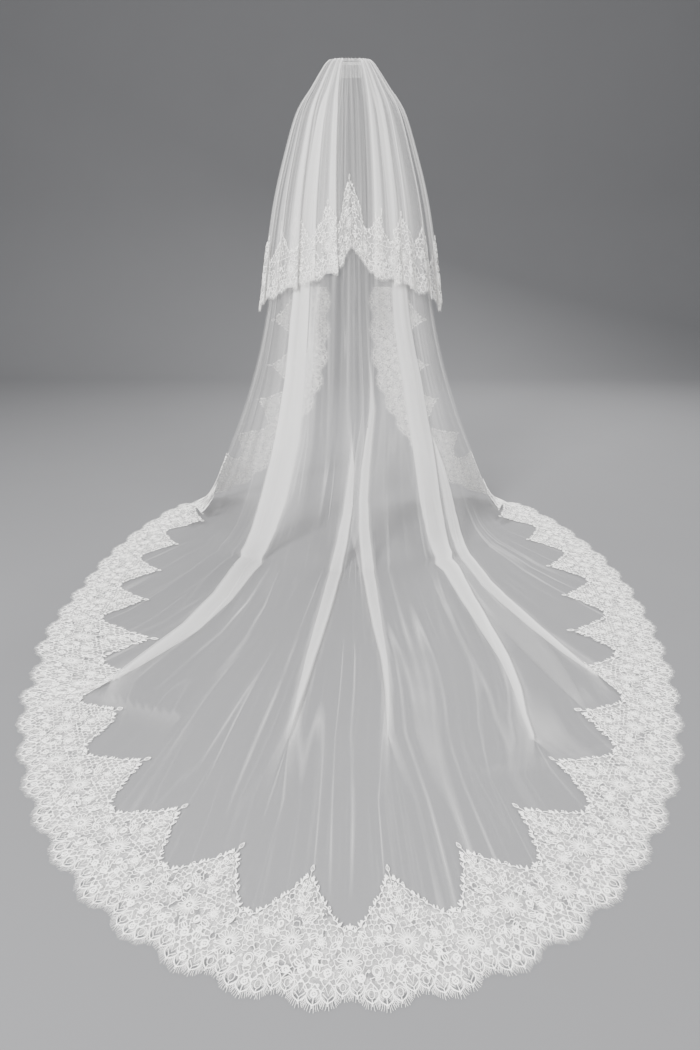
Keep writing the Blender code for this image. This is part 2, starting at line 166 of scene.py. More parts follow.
# The gathers laid flat as folds: home is the strand of cloth in the middle of each, cloth is the
# half width of cloth it takes, in strands, and side is +1 where its top layer's free edge faces
# left. Its stations give, by level, the strand it follows and how far its layers overlap; below
# minus a third of cloth it has opened flat. Most of the train's stations were worked out by a
# helper program, from points picked by hand along the folds in the photo.
Fold = namedtuple("Fold", "home cloth side rise stations")
Station = namedtuple("Station", "level strand overlap")
OPEN = -1.0
TRAIN_FOLDS = [
    Fold(-0.224, 0.070, 1, 0.012, [
        Station(1, -0.215, 0.02), Station(9.09, -0.21, 0.0437), Station(10.46, -0.194, 0.0382),
        Station(12.18, -0.183, 0.0391), Station(14.19, -0.186, 0.035),
        Station(14.69, -0.195, 0.0326), Station(15.25, -0.21, 0.0304),
        Station(15.89, -0.233, 0.0275), Station(16.7, -0.254, 0.0235),
        Station(17.07, -0.245, 0.02), Station(17.17, -0.233, 0.0168),
        Station(17.28, -0.223, 0.0139), Station(17.48, -0.217, 0.009),
        Station(17.64, -0.221, 0.0050), Station(17.78, -0.224, 0.0009),
        Station(17.93, -0.224, OPEN)]),
    Fold(-0.058, 0.034, -1, 0.008, [
        Station(11, 0.01, OPEN), Station(13, 0.005, 0.0073), Station(14.44, -0.005, 0.0108),
        Station(15.47, -0.018, 0.0138), Station(16.11, -0.029, 0.0163),
        Station(16.87, -0.042, 0.0192), Station(17.09, -0.046, 0.0168),
        Station(17.19, -0.048, 0.0145), Station(17.39, -0.053, 0.0106),
        Station(17.55, -0.056, 0.0074), Station(17.7, -0.057, 0.0046),
        Station(17.88, -0.058, 0.0006), Station(18.08, -0.058, OPEN)]),
    Fold(0.037, 0.031, 1, 0.008, [
        Station(9, 0.075, OPEN), Station(11.2, 0.068, 0.0089), Station(12.2, 0.05, 0.0102),
        Station(13.01, 0.038, 0.0115), Station(13.99, 0.03, 0.0113), Station(14.93, 0.031, 0.0125),
        Station(15.48, 0.036, 0.0141), Station(16.11, 0.044, 0.0164),
        Station(16.88, 0.054, 0.0189), Station(17.09, 0.053, 0.0161), Station(17.2, 0.051, 0.0133),
        Station(17.39, 0.049, 0.009), Station(17.55, 0.049, 0.0051), Station(17.69, 0.045, 0.003),
        Station(17.87, 0.037, 0.0007), Station(18.08, 0.037, OPEN)]),
    Fold(0.150, 0.047, -1, 0.011, [
        Station(1, 0.225, 0.018), Station(9.09, 0.219, 0.0378), Station(10.48, 0.224, 0.0365),
        Station(12.22, 0.214, 0.0323), Station(14.21, 0.195, 0.0263), Station(14.7, 0.199, 0.0252),
        Station(15.25, 0.209, 0.0238), Station(15.86, 0.225, 0.022), Station(16.64, 0.243, 0.0187),
        Station(17.06, 0.238, 0.015), Station(17.16, 0.223, 0.0122), Station(17.27, 0.21, 0.0097),
        Station(17.46, 0.194, 0.0064), Station(17.62, 0.183, 0.0043),
        Station(17.76, 0.170, 0.0031), Station(17.86, 0.159, 0.0015),
        Station(17.94, 0.153, 0.0006), Station(18.04, 0.15, OPEN)]),
    Fold(0.234, 0.032, -1, 0.007, [
        Station(11.5, 0.258, OPEN), Station(13.29, 0.253, 0.0101), Station(14.33, 0.25, 0.0122),
        Station(14.84, 0.254, 0.013), Station(15.44, 0.266, 0.013), Station(16.14, 0.281, 0.012),
        Station(16.97, 0.29, 0.0107), Station(17.1, 0.272, 0.0092), Station(17.21, 0.256, 0.0077),
        Station(17.32, 0.248, 0.0064), Station(17.5, 0.240, 0.0045), Station(17.64, 0.236, 0.0027),
        Station(17.77, 0.234, 0.0004), Station(17.90, 0.234, OPEN)]),
]
SHORT_FOLDS = [
    Fold(-0.500, 0.040, -1, 0.006, [
        Station(1, -0.520, 0.006), Station(5, -0.480, 0.014), Station(9, -0.445, 0.018)]),
    Fold(-0.400, 0.036, -1, 0.006, [
        Station(1, -0.420, 0.008), Station(5, -0.375, 0.014), Station(9, -0.335, 0.016)]),
    Fold(-0.295, 0.050, -1, 0.007, [
        Station(1, -0.325, 0.012), Station(5, -0.275, 0.022), Station(9, -0.235, 0.026)]),
    Fold(-0.200, 0.032, -1, 0.005, [
        Station(1, -0.230, 0.008), Station(5, -0.180, 0.012), Station(9, -0.145, 0.013)]),
    Fold(-0.105, 0.042, -1, 0.006, [
        Station(1, -0.150, 0.012), Station(5, -0.098, 0.018), Station(9, -0.058, 0.022)]),
    Fold(0.145, 0.040, 1, 0.006, [
        Station(1, 0.200, 0.012), Station(5, 0.148, 0.018), Station(9, 0.110, 0.020)]),
    Fold(0.230, 0.034, 1, 0.005, [
        Station(1, 0.280, 0.008), Station(5, 0.225, 0.012), Station(9, 0.188, 0.013)]),
    Fold(0.322, 0.048, 1, 0.007, [
        Station(1, 0.360, 0.010), Station(5, 0.308, 0.018), Station(9, 0.272, 0.022)]),
    Fold(0.418, 0.038, 1, 0.006, [
        Station(1, 0.450, 0.008), Station(5, 0.405, 0.014), Station(9, 0.372, 0.016)]),
    Fold(0.505, 0.038, 1, 0.006, [
        Station(1, 0.530, 0.006), Station(5, 0.490, 0.010), Station(9, 0.465, 0.014)]),
]

# Fine gathers round each tier: strands from one to the next, depth in metres, and how far along
# the drape they start and die away.
Gather = namedtuple("Gather", "pitch depth first full fade last")
GATHERS = [
    Gather(0.047, 0.0055, -0.5, 1.0, 12.0, 16.5),
    Gather(0.0205, 0.0026, -0.5, 0.5, 9.0, 15.0),
    Gather(0.113, 0.0090, 3.0, 9.0, 13.0, 16.8),
]

# The lace repeat, flat: metres along the hem from the peak's middle and in from the hem's tips.
Flower = namedtuple("Flower", "along inward radius petals")
FLOWERS = [
    Flower(0.000, 0.112, 0.0255, 11),
    Flower(0.1175, 0.083, 0.0260, 11),
    Flower(-0.057, 0.121, 0.0135, 7),
    Flower(0.058, 0.117, 0.0135, 7),
    Flower(0.000, 0.172, 0.0120, 6),
]
Disc = namedtuple("Disc", "along inward radius")
DISCS = [
    Disc(-0.028, 0.070, 0.0080), Disc(0.031, 0.068, 0.0080), Disc(0.078, 0.066, 0.0075),
    Disc(-0.098, 0.058, 0.0070), Disc(0.003, 0.064, 0.0070), Disc(0.052, 0.083, 0.0060),
]
Scroll = namedtuple("Scroll", "along inward size turn hand")
SCROLLS = [
    Scroll(-0.0695, 0.067, 0.0125, 250, 1),
    Scroll(0.034, 0.098, 0.0085, 30, -1),
    Scroll(-0.034, 0.140, 0.0085, 150, 1),
]
# A leaf grows from its foot at an angle in degrees, 90 being straight in from the hem.
Leaf = namedtuple("Leaf", "along inward angle length half")
LEAVES = [
    Leaf(-0.004, 0.190, 118, 0.022, 0.0050), Leaf(0.004, 0.190, 62, 0.022, 0.0050),
    Leaf(-0.003, 0.212, 122, 0.017, 0.0042), Leaf(0.003, 0.212, 58, 0.017, 0.0042),
    Leaf(-0.014, 0.146, 130, 0.026, 0.0058), Leaf(0.014, 0.146, 50, 0.026, 0.0058),
    Leaf(-0.030, 0.118, 165, 0.020, 0.0050), Leaf(0.032, 0.124, 20, 0.020, 0.0050),
    Leaf(-0.040, 0.086, 205, 0.024, 0.0060), Leaf(0.044, 0.098, -10, 0.022, 0.0055),
    Leaf(-0.075, 0.100, 170, 0.022, 0.0055), Leaf(0.078, 0.105, 40, 0.024, 0.0055),
    Leaf(-0.082, 0.125, 140, 0.020, 0.0048), Leaf(-0.020, 0.150, 150, 0.030, 0.0055),
    Leaf(0.020, 0.152, 30, 0.028, 0.0055), Leaf(0.060, 0.064, 100, 0.018, 0.0050),
    Leaf(-0.048, 0.062, 80, 0.020, 0.0050), Leaf(0.095, 0.110, 80, 0.026, 0.0050),
    Leaf(-0.095, 0.108, 100, 0.026, 0.0050), Leaf(0.014, 0.082, -30, 0.018, 0.0048),
    Leaf(-0.014, 0.082, 210, 0.018, 0.0048),
]
BUDS_PER_EDGE = 9
VALLEY_POINT = 0.018
SPRIG_HEIGHT = 0.024
# How closely the ground is worked: cells to a repeat, height of a row and of a cell's point, how
# far the crossings wander, and the cords' width
Work = namedtuple("Work", "cells row point wander width")
LONG_WORK = Work(20, 0.0102, 0.0032, 0.0044, 0.0012)
SHORT_WORK = Work(11, 0.0150, 0.0050, 0.0080, 0.0019)
MISSING_CORDS = 0.13
LOBES_PER_REPEAT = 10
LOBE_LENGTH = 0.034
LOBE_HALF_WIDTH = 0.0122
DRAWN_PITCH = 0.235
THREADS_PER_LOBE = 18
LACE_SEED = 11


def ring_column(name, level):
    """A column of the ring table, read smoothly between rings and without overshoot."""
    values = np.array([getattr(ring, name) for ring in RINGS])
    slope = np.diff(values)
    product = slope[1:] * slope[:-1]
    total = slope[1:] + slope[:-1]
    inner = np.where(product > 0, 2 * product / np.where(total == 0, 1, total), 0)
    tangent = np.concatenate([slope[:1], inner, slope[-1:]])
    row = np.clip(np.floor(level), 0, FLOOR_LEVEL - 1).astype(int)
    t = np.clip(level - row, 0, 1)
    near = values[row] * (1 + 2 * t) * (1 - t) ** 2 + values[row + 1] * t * t * (3 - 2 * t)
    bent = tangent[row] * t * (1 - t) ** 2 + tangent[row + 1] * t * t * (t - 1)
    return near + bent


def ramp(value, start, end):
    """0 at start, 1 at end, with a soft rise between."""
    t = np.clip((value - start) / (end - start), 0, 1)
    return t * t * (3 - 2 * t)


def solve(function, target, low, high):
    """Where a rising function reaches its target, for every entry at once."""
    low = np.full(np.shape(target), float(low))
    high = np.full(np.shape(target), float(high))
    for _ in range(BISECTIONS):
        middle = (low + high) / 2
        short = function(middle) < target
        low = np.where(short, middle, low)
        high = np.where(short, high, middle)
    return (low + high) / 2


def edge_turn(level):
    """The turn from the centre back to a front edge."""
    return math.pi - np.arcsin(ring_column("edge", level) / ring_column("half_width", level))


def turn_of(strand, level):
    """The turn round the wearer at which a strand hangs or lies. The train is pulled backwards,
    so its strands sweep towards the centre as they run out."""
    hanging = strand * edge_turn(level)
    window = np.cos(np.clip(np.abs(hanging) / SWEEP_LAST_TURN, 0, 1) * math.pi / 2) ** 2
    swept = SWEEP * window * ramp(level, FLOOR_LEVEL - 3, FLOOR_LEVEL + 0.6)
    return hanging * (1 - swept)


def ring_point(turn, level):
    """The smooth drape, with no folds."""
    out = np.maximum(level - FLOOR_LEVEL, 0)
    width = ring_column("half_width", level) + out
    back = ring_column("back", level) + out
    front = ring_column("front", level) + out
    reach = np.where(np.cos(turn) > 0, back, front)
    height = ring_column("height", level) - COMB_HEIGHT
    return np.stack([width * np.sin(turn), -reach * np.cos(turn), height], axis=-1)


def smooth_point(strand, level):
    return ring_point(turn_of(strand, level), level)


def along_strand_and_level(strand, level):
    """The smooth drape's two directions: across the strands, and down or out along one."""
    across = smooth_point(strand + NUDGE, level) - smooth_point(strand - NUDGE, level)
    along = smooth_point(strand, level + NUDGE) - smooth_point(strand, level - NUDGE)
    return across / (2 * NUDGE), along / (2 * NUDGE)


def unit(vector):
    return vector / np.maximum(np.linalg.norm(vector, axis=-1, keepdims=True), TINY)


def outward(strand, level):
    across, along = along_strand_and_level(strand, level)
    return unit(np.cross(along, across))


def level_at_height(height):
    return solve(lambda level: -ring_column("height", level), -np.asarray(height, float), 1, FLOOR_LEVEL)


def strand_at(turn, level):
    return solve(lambda strand: turn_of(strand, level), turn, -0.1, 1.1)


def train_oval():
    """The right half of the train's outline on the floor, as turns and levels."""
    angle = np.radians(np.linspace(0, TRAIN_LAST_ANGLE, BORDER_STEPS))
    reach = np.where(np.cos(angle) > 0, TRAIN_NEAR_REACH, TRAIN_FAR_REACH)
    x = TRAIN_HALF_WIDTH * np.sin(angle)
    y = -TRAIN_CENTRE - reach * np.cos(angle)
    last = RINGS[-1]
    depth = np.where(y < 0, last.back, last.front)

    def inside(out):
        return -((x / (last.half_width + out)) ** 2) - (y / (depth + out)) ** 2

    out = solve(inside, np.full(angle.shape, -1.0), -last.front / 2, TRAIN_NEAR_REACH * 2)
    turn = np.arctan2(x / (last.half_width + out), -y / (depth + out))
    on_floor = out > 0
    return turn[on_floor], FLOOR_LEVEL + out[on_floor]


def border_line():
    """The hem and front edges as one line of equal steps: strands, levels and length, from the
    top of the left edge's lace round the train to the top of the right edge's."""
    oval_turn, oval_level = train_oval()
    lift_turn = np.radians([p.turn for p in HEM_LIFT])
    lift_level = level_at_height([p.height for p in HEM_LIFT])
    edge_level = level_at_height(np.linspace(HEM_LIFT[-1].height + 0.08, BORDER_TOP_HEIGHT, 8))
    turn = np.concatenate([oval_turn, lift_turn, edge_turn(edge_level)])
    level = np.concatenate([oval_level, lift_level, edge_level])
    strand = strand_at(turn, level)
    strand = np.concatenate([-strand[:0:-1], strand])
    level = np.concatenate([level[:0:-1], level])
    for _ in range(2):
        length = line_length(smooth_point(strand, level))
        even = np.linspace(0, length[-1], 2 * BORDER_STEPS + 1)
        strand = soften(np.interp(even, length, strand))
        level = soften(np.interp(even, length, level))
    length = line_length(smooth_point(strand, level))
    return strand, level, length - length[-1] / 2


def line_length(points):
    steps = np.linalg.norm(np.diff(points, axis=0), axis=-1)
    return np.concatenate([[0.0], np.cumsum(steps)])


def soften(values):
    """Rounds a line's corners and keeps its two ends."""
    for _ in range(60):
        values = np.concatenate([values[:1], (values[:-2] + values[1:-1] + values[2:]) / 3, values[-1:]])
    return values


def walk_inward(strand, level, distance):
    """Straight lines over the drape, square to a border line and away from it: the strand and
    level of each step, one row of the result for each step."""
    heading_line = np.gradient(smooth_point(strand, level), axis=0)
    heading = unit(np.cross(outward(strand, level), heading_line))
    rows = [(strand, level)]
    for _ in range(round(distance / WALK_STEP)):
        across, along = along_strand_and_level(strand, level)
        aa, bb = (across**2).sum(-1), (along**2).sum(-1)
        ab = (across * along).sum(-1)
        ha, hb = (heading * across).sum(-1), (heading * along).sum(-1)
        area = aa * bb - ab * ab
        strand = strand + WALK_STEP * (ha * bb - hb * ab) / area
        level = level + WALK_STEP * (hb * aa - ha * ab) / area
        normal = outward(strand, level)
        heading = unit(heading - normal * (heading * normal).sum(-1, keepdims=True))
        rows.append((strand, level))
    return np.array(rows)


class Border:
    """The band of cloth along a border line, addressed by distance along it and in from it."""

    def __init__(self, line, depth):
        self.strand, self.level, self.length = line
        self.depth = depth
        self.rows = walk_inward(self.strand, self.level, depth + 2 * WALK_STEP)

    def at(self, along, inward):
        step = np.clip(np.asarray(inward) / WALK_STEP, 0, len(self.rows) - 1.001)
        low = np.floor(step).astype(int)
        share = step - low
        place = np.interp(along, self.length, np.arange(len(self.length)))
        left = np.clip(np.floor(place).astype(int), 0, len(self.length) - 2)
        part = place - left
        found = []
        for field in (0, 1):
            grid = self.rows[:, field]
            near = grid[low, left] * (1 - part) + grid[low, left + 1] * part
            far = grid[low + 1, left] * (1 - part) + grid[low + 1, left + 1] * part
            found.append(near * (1 - share) + far * share)
        return found


def short_standoff(strand, level, hem_level):
    """How far the short tier hangs off the long one: close at the comb, free at its hem."""
    side = [row.strand for row in SHORT_HEM]
    at_hem = np.interp(np.abs(strand), side, [row.standoff for row in SHORT_HEM])
    share = ramp(level / hem_level, 0.05, 1.0)
    return SHORT_STANDOFF_AT_COMB + (at_hem - SHORT_STANDOFF_AT_COMB) * share


RING_RUN = line_length(np.array([(ring.half_width, ring.height) for ring in RINGS]))


def run_down(level):
    """How far down the drape, and then out along the floor, a level is from the comb."""
    return np.interp(level, np.arange(len(RINGS)), RING_RUN) + np.maximum(level - FLOOR_LEVEL, 0)


def station_column(fold, name, level):
    levels = [station.level for station in fold.stations]
    values = [max(getattr(station, name), -1.0) for station in fold.stations]
    if name == "overlap":
        values = [max(value, -fold.cloth / 3) for value in values]
    return np.interp(run_down(level), run_down(np.array(levels)), values)


def fold_cloth(cloth, level, folds):
    """Lays cloth in its folds: where each strand of cloth ends up on the drape, how far its layer
    lies above the lowest one, and how gathered it is there, from 0 to 1."""
    strand = cloth + np.zeros(np.shape(level))
    rise = np.zeros(np.shape(strand))
    gathered = np.zeros(np.shape(strand))
    ends = [-1.0] + [fold.home + side * fold.cloth for fold in folds for side in (-1, 1)] + [1.0]
    for number, fold in enumerate(folds):
        half = fold.cloth
        overlap = station_column(fold, "overlap", level)
        t = fold.side * (cloth - fold.home) / half
        under = -half + (t + 1) * 1.5 * (half + overlap)
        middle = overlap - (t + 1 / 3) * 3 * overlap
        over = -overlap + (t - 1 / 3) * 1.5 * (half + overlap)
        moved = np.where(t < -1 / 3, under, np.where(t < 1 / 3, middle, over))
        inside = np.abs(t) < 1
        closed = ramp(overlap, -half / 3, 0.003)
        top = 1 - ramp(moved, np.maximum(overlap, 0) * 0.6, half)
        layer = np.where(t < -1 / 3, 0, np.where(t < 1 / 3, (t + 1 / 3) * 1.5, top))
        crease = np.exp(-(((np.abs(t) - 1 / 3) / 0.12) ** 2))
        rise = rise + np.where(inside, fold.rise * layer * closed, 0)
        stacked = 0.40 * (1 - ramp(np.abs(moved), overlap * 0.9, overlap * 1.3 + 0.004)) + 0.40 * crease
        gathered = np.maximum(gathered, np.where(inside, stacked * closed, 0))
        strand = strand + np.where(inside, fold.side * (moved - t * half), 0)
        carried = np.interp(cloth, ends[2 * number:2 * number + 4], (0.0, 1.0, 1.0, 0.0))
        strand = strand + carried * (station_column(fold, "strand", level) - fold.home)
    return strand, rise, gathered


def with_creases(columns, folds):
    """The columns of a cloth grid, with one on each crease and end of its folds."""
    marks = [fold.home + share * fold.cloth for fold in folds for share in (-1, -1 / 3, 1 / 3, 1)]
    clear = [column for column in columns if min(abs(column - mark) for mark in marks) > 0.0006]
    return np.sort(np.array(clear + marks))


def gather_wave(cloth, level, share):
    """How far the fine gathers push the cloth out, and how bright they make it."""
    push = np.zeros(np.shape(cloth))
    bright = np.zeros(np.shape(cloth))
    for gather in GATHERS:
        drift = 0.35 * np.sin(cloth * 17.0 + level * 0.21) + 0.22 * np.sin(cloth * 41.0 - level * 0.13)
        wave = 0.5 + 0.5 * np.cos(2 * math.pi * cloth / gather.pitch + 2.2 * drift)
        here = ramp(level, gather.first, gather.full) * (1 - ramp(level, gather.fade, gather.last))
        push = push + gather.depth * (wave**1.5 - 0.4) * here * share
        bright = bright + (1 - wave) ** 2 * here * share
    return push, bright / len(GATHERS)


def long_place(cloth, level, lift=0.0):
    """A place on the long tier: its point, its outward side and how gathered it is."""
    strand, rise, gathered = fold_cloth(cloth, level, TRAIN_FOLDS)
    rise = rise * (0.25 * ramp(level, 1.5, 6.0) + 0.75 * ramp(level, 8.5, 11.0))
    free = 0.25 + 0.75 * ramp(level, 6.0, 9.0)
    wave, bright = gather_wave(cloth, level, free * (1 - 0.45 * ramp(np.abs(cloth), 0.55, 0.9)))
    normal = outward(strand, level)
    push = lift + rise + wave + wrinkle(cloth, level)
    points = smooth_point(strand, level) + normal * np.expand_dims(push, -1)
    sides = ramp(np.abs(strand), 0.09, 0.17) * (1 - ramp(np.abs(strand), 0.26, 0.40))
    sides = sides * (1 - ramp(level, 11.0, 16.0))
    return points, normal, np.clip(gathered + 0.35 * bright + 0.22 * sides, 0, 1)


def wrinkle(cloth, level):
    """Low waves in the train where the cloth hasn't settled flat."""
    on_floor = ramp(level, FLOOR_LEVEL - 1.5, FLOOR_LEVEL + 0.1)
    on_floor = on_floor * (1 - ramp(level, FLOOR_LEVEL + 0.75, FLOOR_LEVEL + 1.1))
    long_wave = np.sin(cloth * 95 + 3 * np.sin(cloth * 23 + level * 1.7))
    short_wave = np.sin(cloth * 201 + level * 5 + 2 * np.sin(cloth * 31 - level * 4))
    return on_floor * 0.0018 * (1.6 + long_wave + 0.6 * short_wave) * 0.5


def short_panel_drop(cloth):
    """How much further down the hem's folded panels reach than the smooth hem, by strand."""
    return 0.030 * ramp(np.abs(cloth), 0.045, 0.075) * (1 - ramp(np.abs(cloth), 0.10, 0.40))


def short_height(cloth):
    """The short tier's hem height by strand of cloth."""
    side = [row.strand for row in SHORT_HEM]
    return np.interp(np.abs(cloth), side, [row.height for row in SHORT_HEM]) - short_panel_drop(cloth)


def short_place(cloth, level, lift=0.0):
    """A place on the short tier, as long_place."""
    strand, rise, gathered = fold_cloth(cloth, level, SHORT_FOLDS)
    off = short_standoff(strand, level, level_at_height(short_height(strand)))
    wave, bright = gather_wave(cloth * 1.07 + 0.013, level, 0.30 + 0.60 * ramp(level, 0.5, 5.0))
    low = ramp(level, 3.0, 8.0) * ramp(np.abs(strand), 0.05, 0.3)
    wave = wave + 0.007 * low * (0.5 + 0.5 * np.cos(2 * math.pi * strand / 0.127 + 1.0))
    normal = outward(strand, level)
    rise = rise * ramp(level, 1.5, 6.0)
    points = smooth_point(strand, level) + normal * np.expand_dims(off + lift + rise + wave, -1)
    middle = np.interp(level, [1.0, 5.0, 9.0], [0.15, 0.10, 0.06])
    sides = ramp(np.abs(strand - 0.02) / middle, 0.7, 1.2) * (1 - ramp(np.abs(strand), 0.28, 0.44))
    top = 1 - ramp(level, 0.4, 2.8)
    return points, normal, np.clip(0.85 * gathered + 0.42 * bright + 0.22 * sides + 0.50 * top, 0, 1)


class ShortBand:
    """The short tier's lace band, addressed by true length along its folded hem and up from it."""

    def __init__(self):
        self.cloth = np.linspace(-SHORT_EDGE_STRAND, SHORT_EDGE_STRAND, BORDER_STEPS * 4 + 1)
        points, _, _ = short_place(self.cloth, level_at_height(short_height(self.cloth)))
        length = line_length(points)
        self.length = length - length[-1] / 2

    def at(self, along, inward):
        cloth = np.interp(along, self.length, self.cloth)
        return cloth, level_at_height(short_height(cloth) + inward * SHORT_UPRIGHT)


def over_the_comb(points, cloth, row):
    """Rolls the short tier's rows above the drape over the comb, in small soft lumps."""
    above = row < 0
    turn = np.clip(-row[above], 0, 1) * math.pi / 2
    lump = 0.0010 * np.sin(cloth[above] * 43) + 0.0008 * np.sin(cloth[above] * 21 + 1.0)
    start = points[above]
    crest = SHORT_RIDGE_RISE + lump
    start[:, 2] = start[:, 2] + crest * np.sin(turn)
    start[:, 1] = start[:, 1] * np.cos(turn) + COMB_THICKNESS * (1 - np.cos(turn))
    points[above] = start
    return points


def laid_grid(name, columns, rows, place):
    """A flat grid of columns and rows, moved onto the drape by place(), which takes each vertex's
    column and row and also gives its gathering and its place on the cloth, for the weave."""
    bm = bmesh.new()
    bmesh.ops.create_grid(bm, x_segments=columns - 1, y_segments=rows - 1, size=1.0)
    mesh = bpy.data.meshes.new(name)
    bm.to_mesh(mesh)
    bm.free()
    flat = vertex_places(mesh)
    column = np.rint((flat[:, 0] * 0.5 + 0.5) * (columns - 1)).astype(int)
    row = np.rint((flat[:, 1] * 0.5 + 0.5) * (rows - 1)).astype(int)
    points, gathered, chart = place(column, row)
    return finished(name, mesh, points, chart, gathered)


def vertex_places(mesh):
    flat = np.empty(len(mesh.vertices) * 3)
    mesh.vertices.foreach_get("co", flat)
    return flat.reshape(-1, 3)


def finished(name, mesh, points, chart, gathered=None):
    """Moves a mesh's vertices to their places and keeps its cloth chart as a UV map."""
    mesh.vertices.foreach_set("co", np.ascontiguousarray(points, dtype=float).ravel())
    corner = np.empty(len(mesh.loops), dtype=int)
    mesh.loops.foreach_get("vertex_index", corner)
    layer = mesh.uv_layers.new(name="cloth")
    layer.data.foreach_set("uv", np.ascontiguousarray(chart[corner]).ravel())
    if gathered is not None:
        value = mesh.attributes.new("gathered", "FLOAT", "POINT")
        value.data.foreach_set("value", np.ascontiguousarray(gathered, dtype=float))
    mesh.update()
    mesh.shade_smooth()
    made = bpy.data.objects.new(name, mesh)
    bpy.context.scene.collection.objects.link(made)
    return made


def even_levels(strands, first, last, shares):
    """For each strand, the levels at those shares of its length from first to last: one row for
    each share and one column for each strand."""
    fine = np.linspace(0, 1, 260)
    levels = first + fine[:, None] * (last - first)[None, :]
    points = smooth_point(np.broadcast_to(strands, levels.shape), levels)
    steps = np.linalg.norm(np.diff(points, axis=0), axis=-1)
    length = np.vstack([np.zeros(len(strands)), np.cumsum(steps, axis=0)])
    found = [np.interp(shares * length[-1, i], length[:, i], levels[:, i]) for i in range(len(strands))]
    return np.array(found).T


def crowded(first, last, count, middle, extra):
    """Columns from first to last, closer together within middle of the centre."""
    fine = np.linspace(first, last, 4001)
    weight = np.cumsum(1 + extra * (np.abs(fine) < middle))
    return np.interp(np.linspace(weight[0], weight[-1], count), weight, fine)


class Drawing:
    """Lace drawn flat: along the hem, in from it, and up off its ground."""

    def __init__(self, seed):
        self.bm = bmesh.new()
        self.chance = np.random.default_rng(seed)

    def cord(self, points, width, rise=0.0, closed=False):
        """One cord: a long narrow grid laid along its points, its middle line raised."""
        points = np.asarray(points, dtype=float)
        if closed:
            points = np.vstack([points, points[:1]])
        ahead = np.gradient(points, axis=0)
        if closed:
            ahead[0] = ahead[-1] = points[1] - points[-2]
        ahead = ahead / np.maximum(np.linalg.norm(ahead, axis=1, keepdims=True), TINY)
        width = np.broadcast_to(width, len(points))
        lanes = 2 if rise else 1
        base = 0.0004 * self.chance.random()
        made = bmesh.ops.create_grid(self.bm, x_segments=len(points) - 1, y_segments=lanes, size=1.0)
        for vert in made["verts"]:
            i = round((vert.co.x * 0.5 + 0.5) * (len(points) - 1))
            lane = vert.co.y
            reach = lane * width[i] / 2
            high = base + rise * (1 - abs(lane))
            vert.co = (points[i, 0] - ahead[i, 1] * reach, points[i, 1] + ahead[i, 0] * reach, high)

    def leaf(self, foot, angle, length, half, width=0.0019, veined=True):
        """An almond leaf in outline, with a vein."""
        way = np.array([math.cos(angle), math.sin(angle)])
        across = np.array([-way[1], way[0]])
        t = np.linspace(0, 1, 7)[:, None]
        swell = np.sin(math.pi * t**0.85) * half
        tip = np.asarray(foot) + way * length
        middle = np.asarray(foot) + way * length * t
        self.cord(middle + across * swell, width, 0.0009)
        self.cord(middle - across * swell, width, 0.0009)
        if veined:
            self.cord([middle[1], middle[3], middle[5]], width * 0.7)
        return tip

    def bud(self, foot, angle, length, half):
        """A small solid leaf."""
        way = np.array([math.cos(angle), math.sin(angle)])
        t = np.linspace(0, 1, 5)
        points = np.asarray(foot) + way * length * t[:, None]
        self.cord(points, 0.0006 + 2 * half * np.sin(math.pi * t**0.8), 0.0011)

    def ring(self, centre, radius, width, sides, rise=0.0, squash=1.0, turn=0.0):
        angle = np.linspace(0, 2 * math.pi, sides, endpoint=False)
        x = np.cos(angle) * radius
        y = np.sin(angle) * radius * squash
        c, s = math.cos(turn), math.sin(turn)
        points = np.stack([centre[0] + c * x - s * y, centre[1] + s * x + c * y], axis=-1)
        self.cord(points, width, rise, closed=True)

    def flower(self, centre, radius, petals):
        """Looped petals in double outline round an eyelet disc."""
        centre = np.asarray(centre)
        first = self.chance.random() * 2 * math.pi / petals
        core = radius * 0.33
        gap = math.pi * (radius + core) / petals
        for petal in range(petals):
            angle = first + 2 * math.pi * petal / petals
            way = np.array([math.cos(angle), math.sin(angle)])
            across = np.array([-way[1], way[0]])
            length = radius * (0.90 + 0.10 * (petal % 2)) - core
            t = np.linspace(0, 2 * math.pi, 11, endpoint=False)[:, None]
            out = core * 0.8 + (length + core * 0.2) * (0.5 - 0.5 * np.cos(t))
            side = np.sin(t) * gap * 0.37 * (0.62 + 0.38 * (0.5 - 0.5 * np.cos(t)))
            self.cord(centre + way * out + across * side, 0.0017, 0.0008, closed=True)
            self.cord(centre + way * np.array([[core], [core + length * 0.62]]), 0.0010)
        self.ring(centre, core * 0.88, 0.0024, 12, 0.0012)
        self.eyelets(centre, core * 0.8, 5)

    def eyelets(self, centre, radius, spokes):
        """Spokes that meet in a dot, which leave small holes between them."""
        for spoke in range(spokes):
            angle = 2 * math.pi * (spoke + 0.3) / spokes
            tip = np.asarray(centre) + radius * np.array([math.cos(angle), math.sin(angle)])
            self.cord([centre, tip], 0.0011)
        self.ring(centre, radius * 0.22, 0.0018, 6)

    def scroll(self, centre, size, turn, hand):
        """A curl of two cords, open at its heel."""
        for shrink in (1.0, 0.68):
            t = np.linspace(0, 1, 15)
            radius = size * shrink * (1 - 0.62 * t)
            angle = turn + hand * t * 1.55 * 2 * math.pi * 0.85
            points = np.stack([np.cos(angle) * radius, np.sin(angle) * radius * 1.12], axis=-1)
            self.cord(np.asarray(centre) + points, 0.0020, 0.0010)


def hem_cut(along, half_pitch, depth):
    """How far the hem is cut back between its two scallops to a repeat."""
    return depth * (1 - np.abs(np.sin(math.pi * (along / half_pitch))))


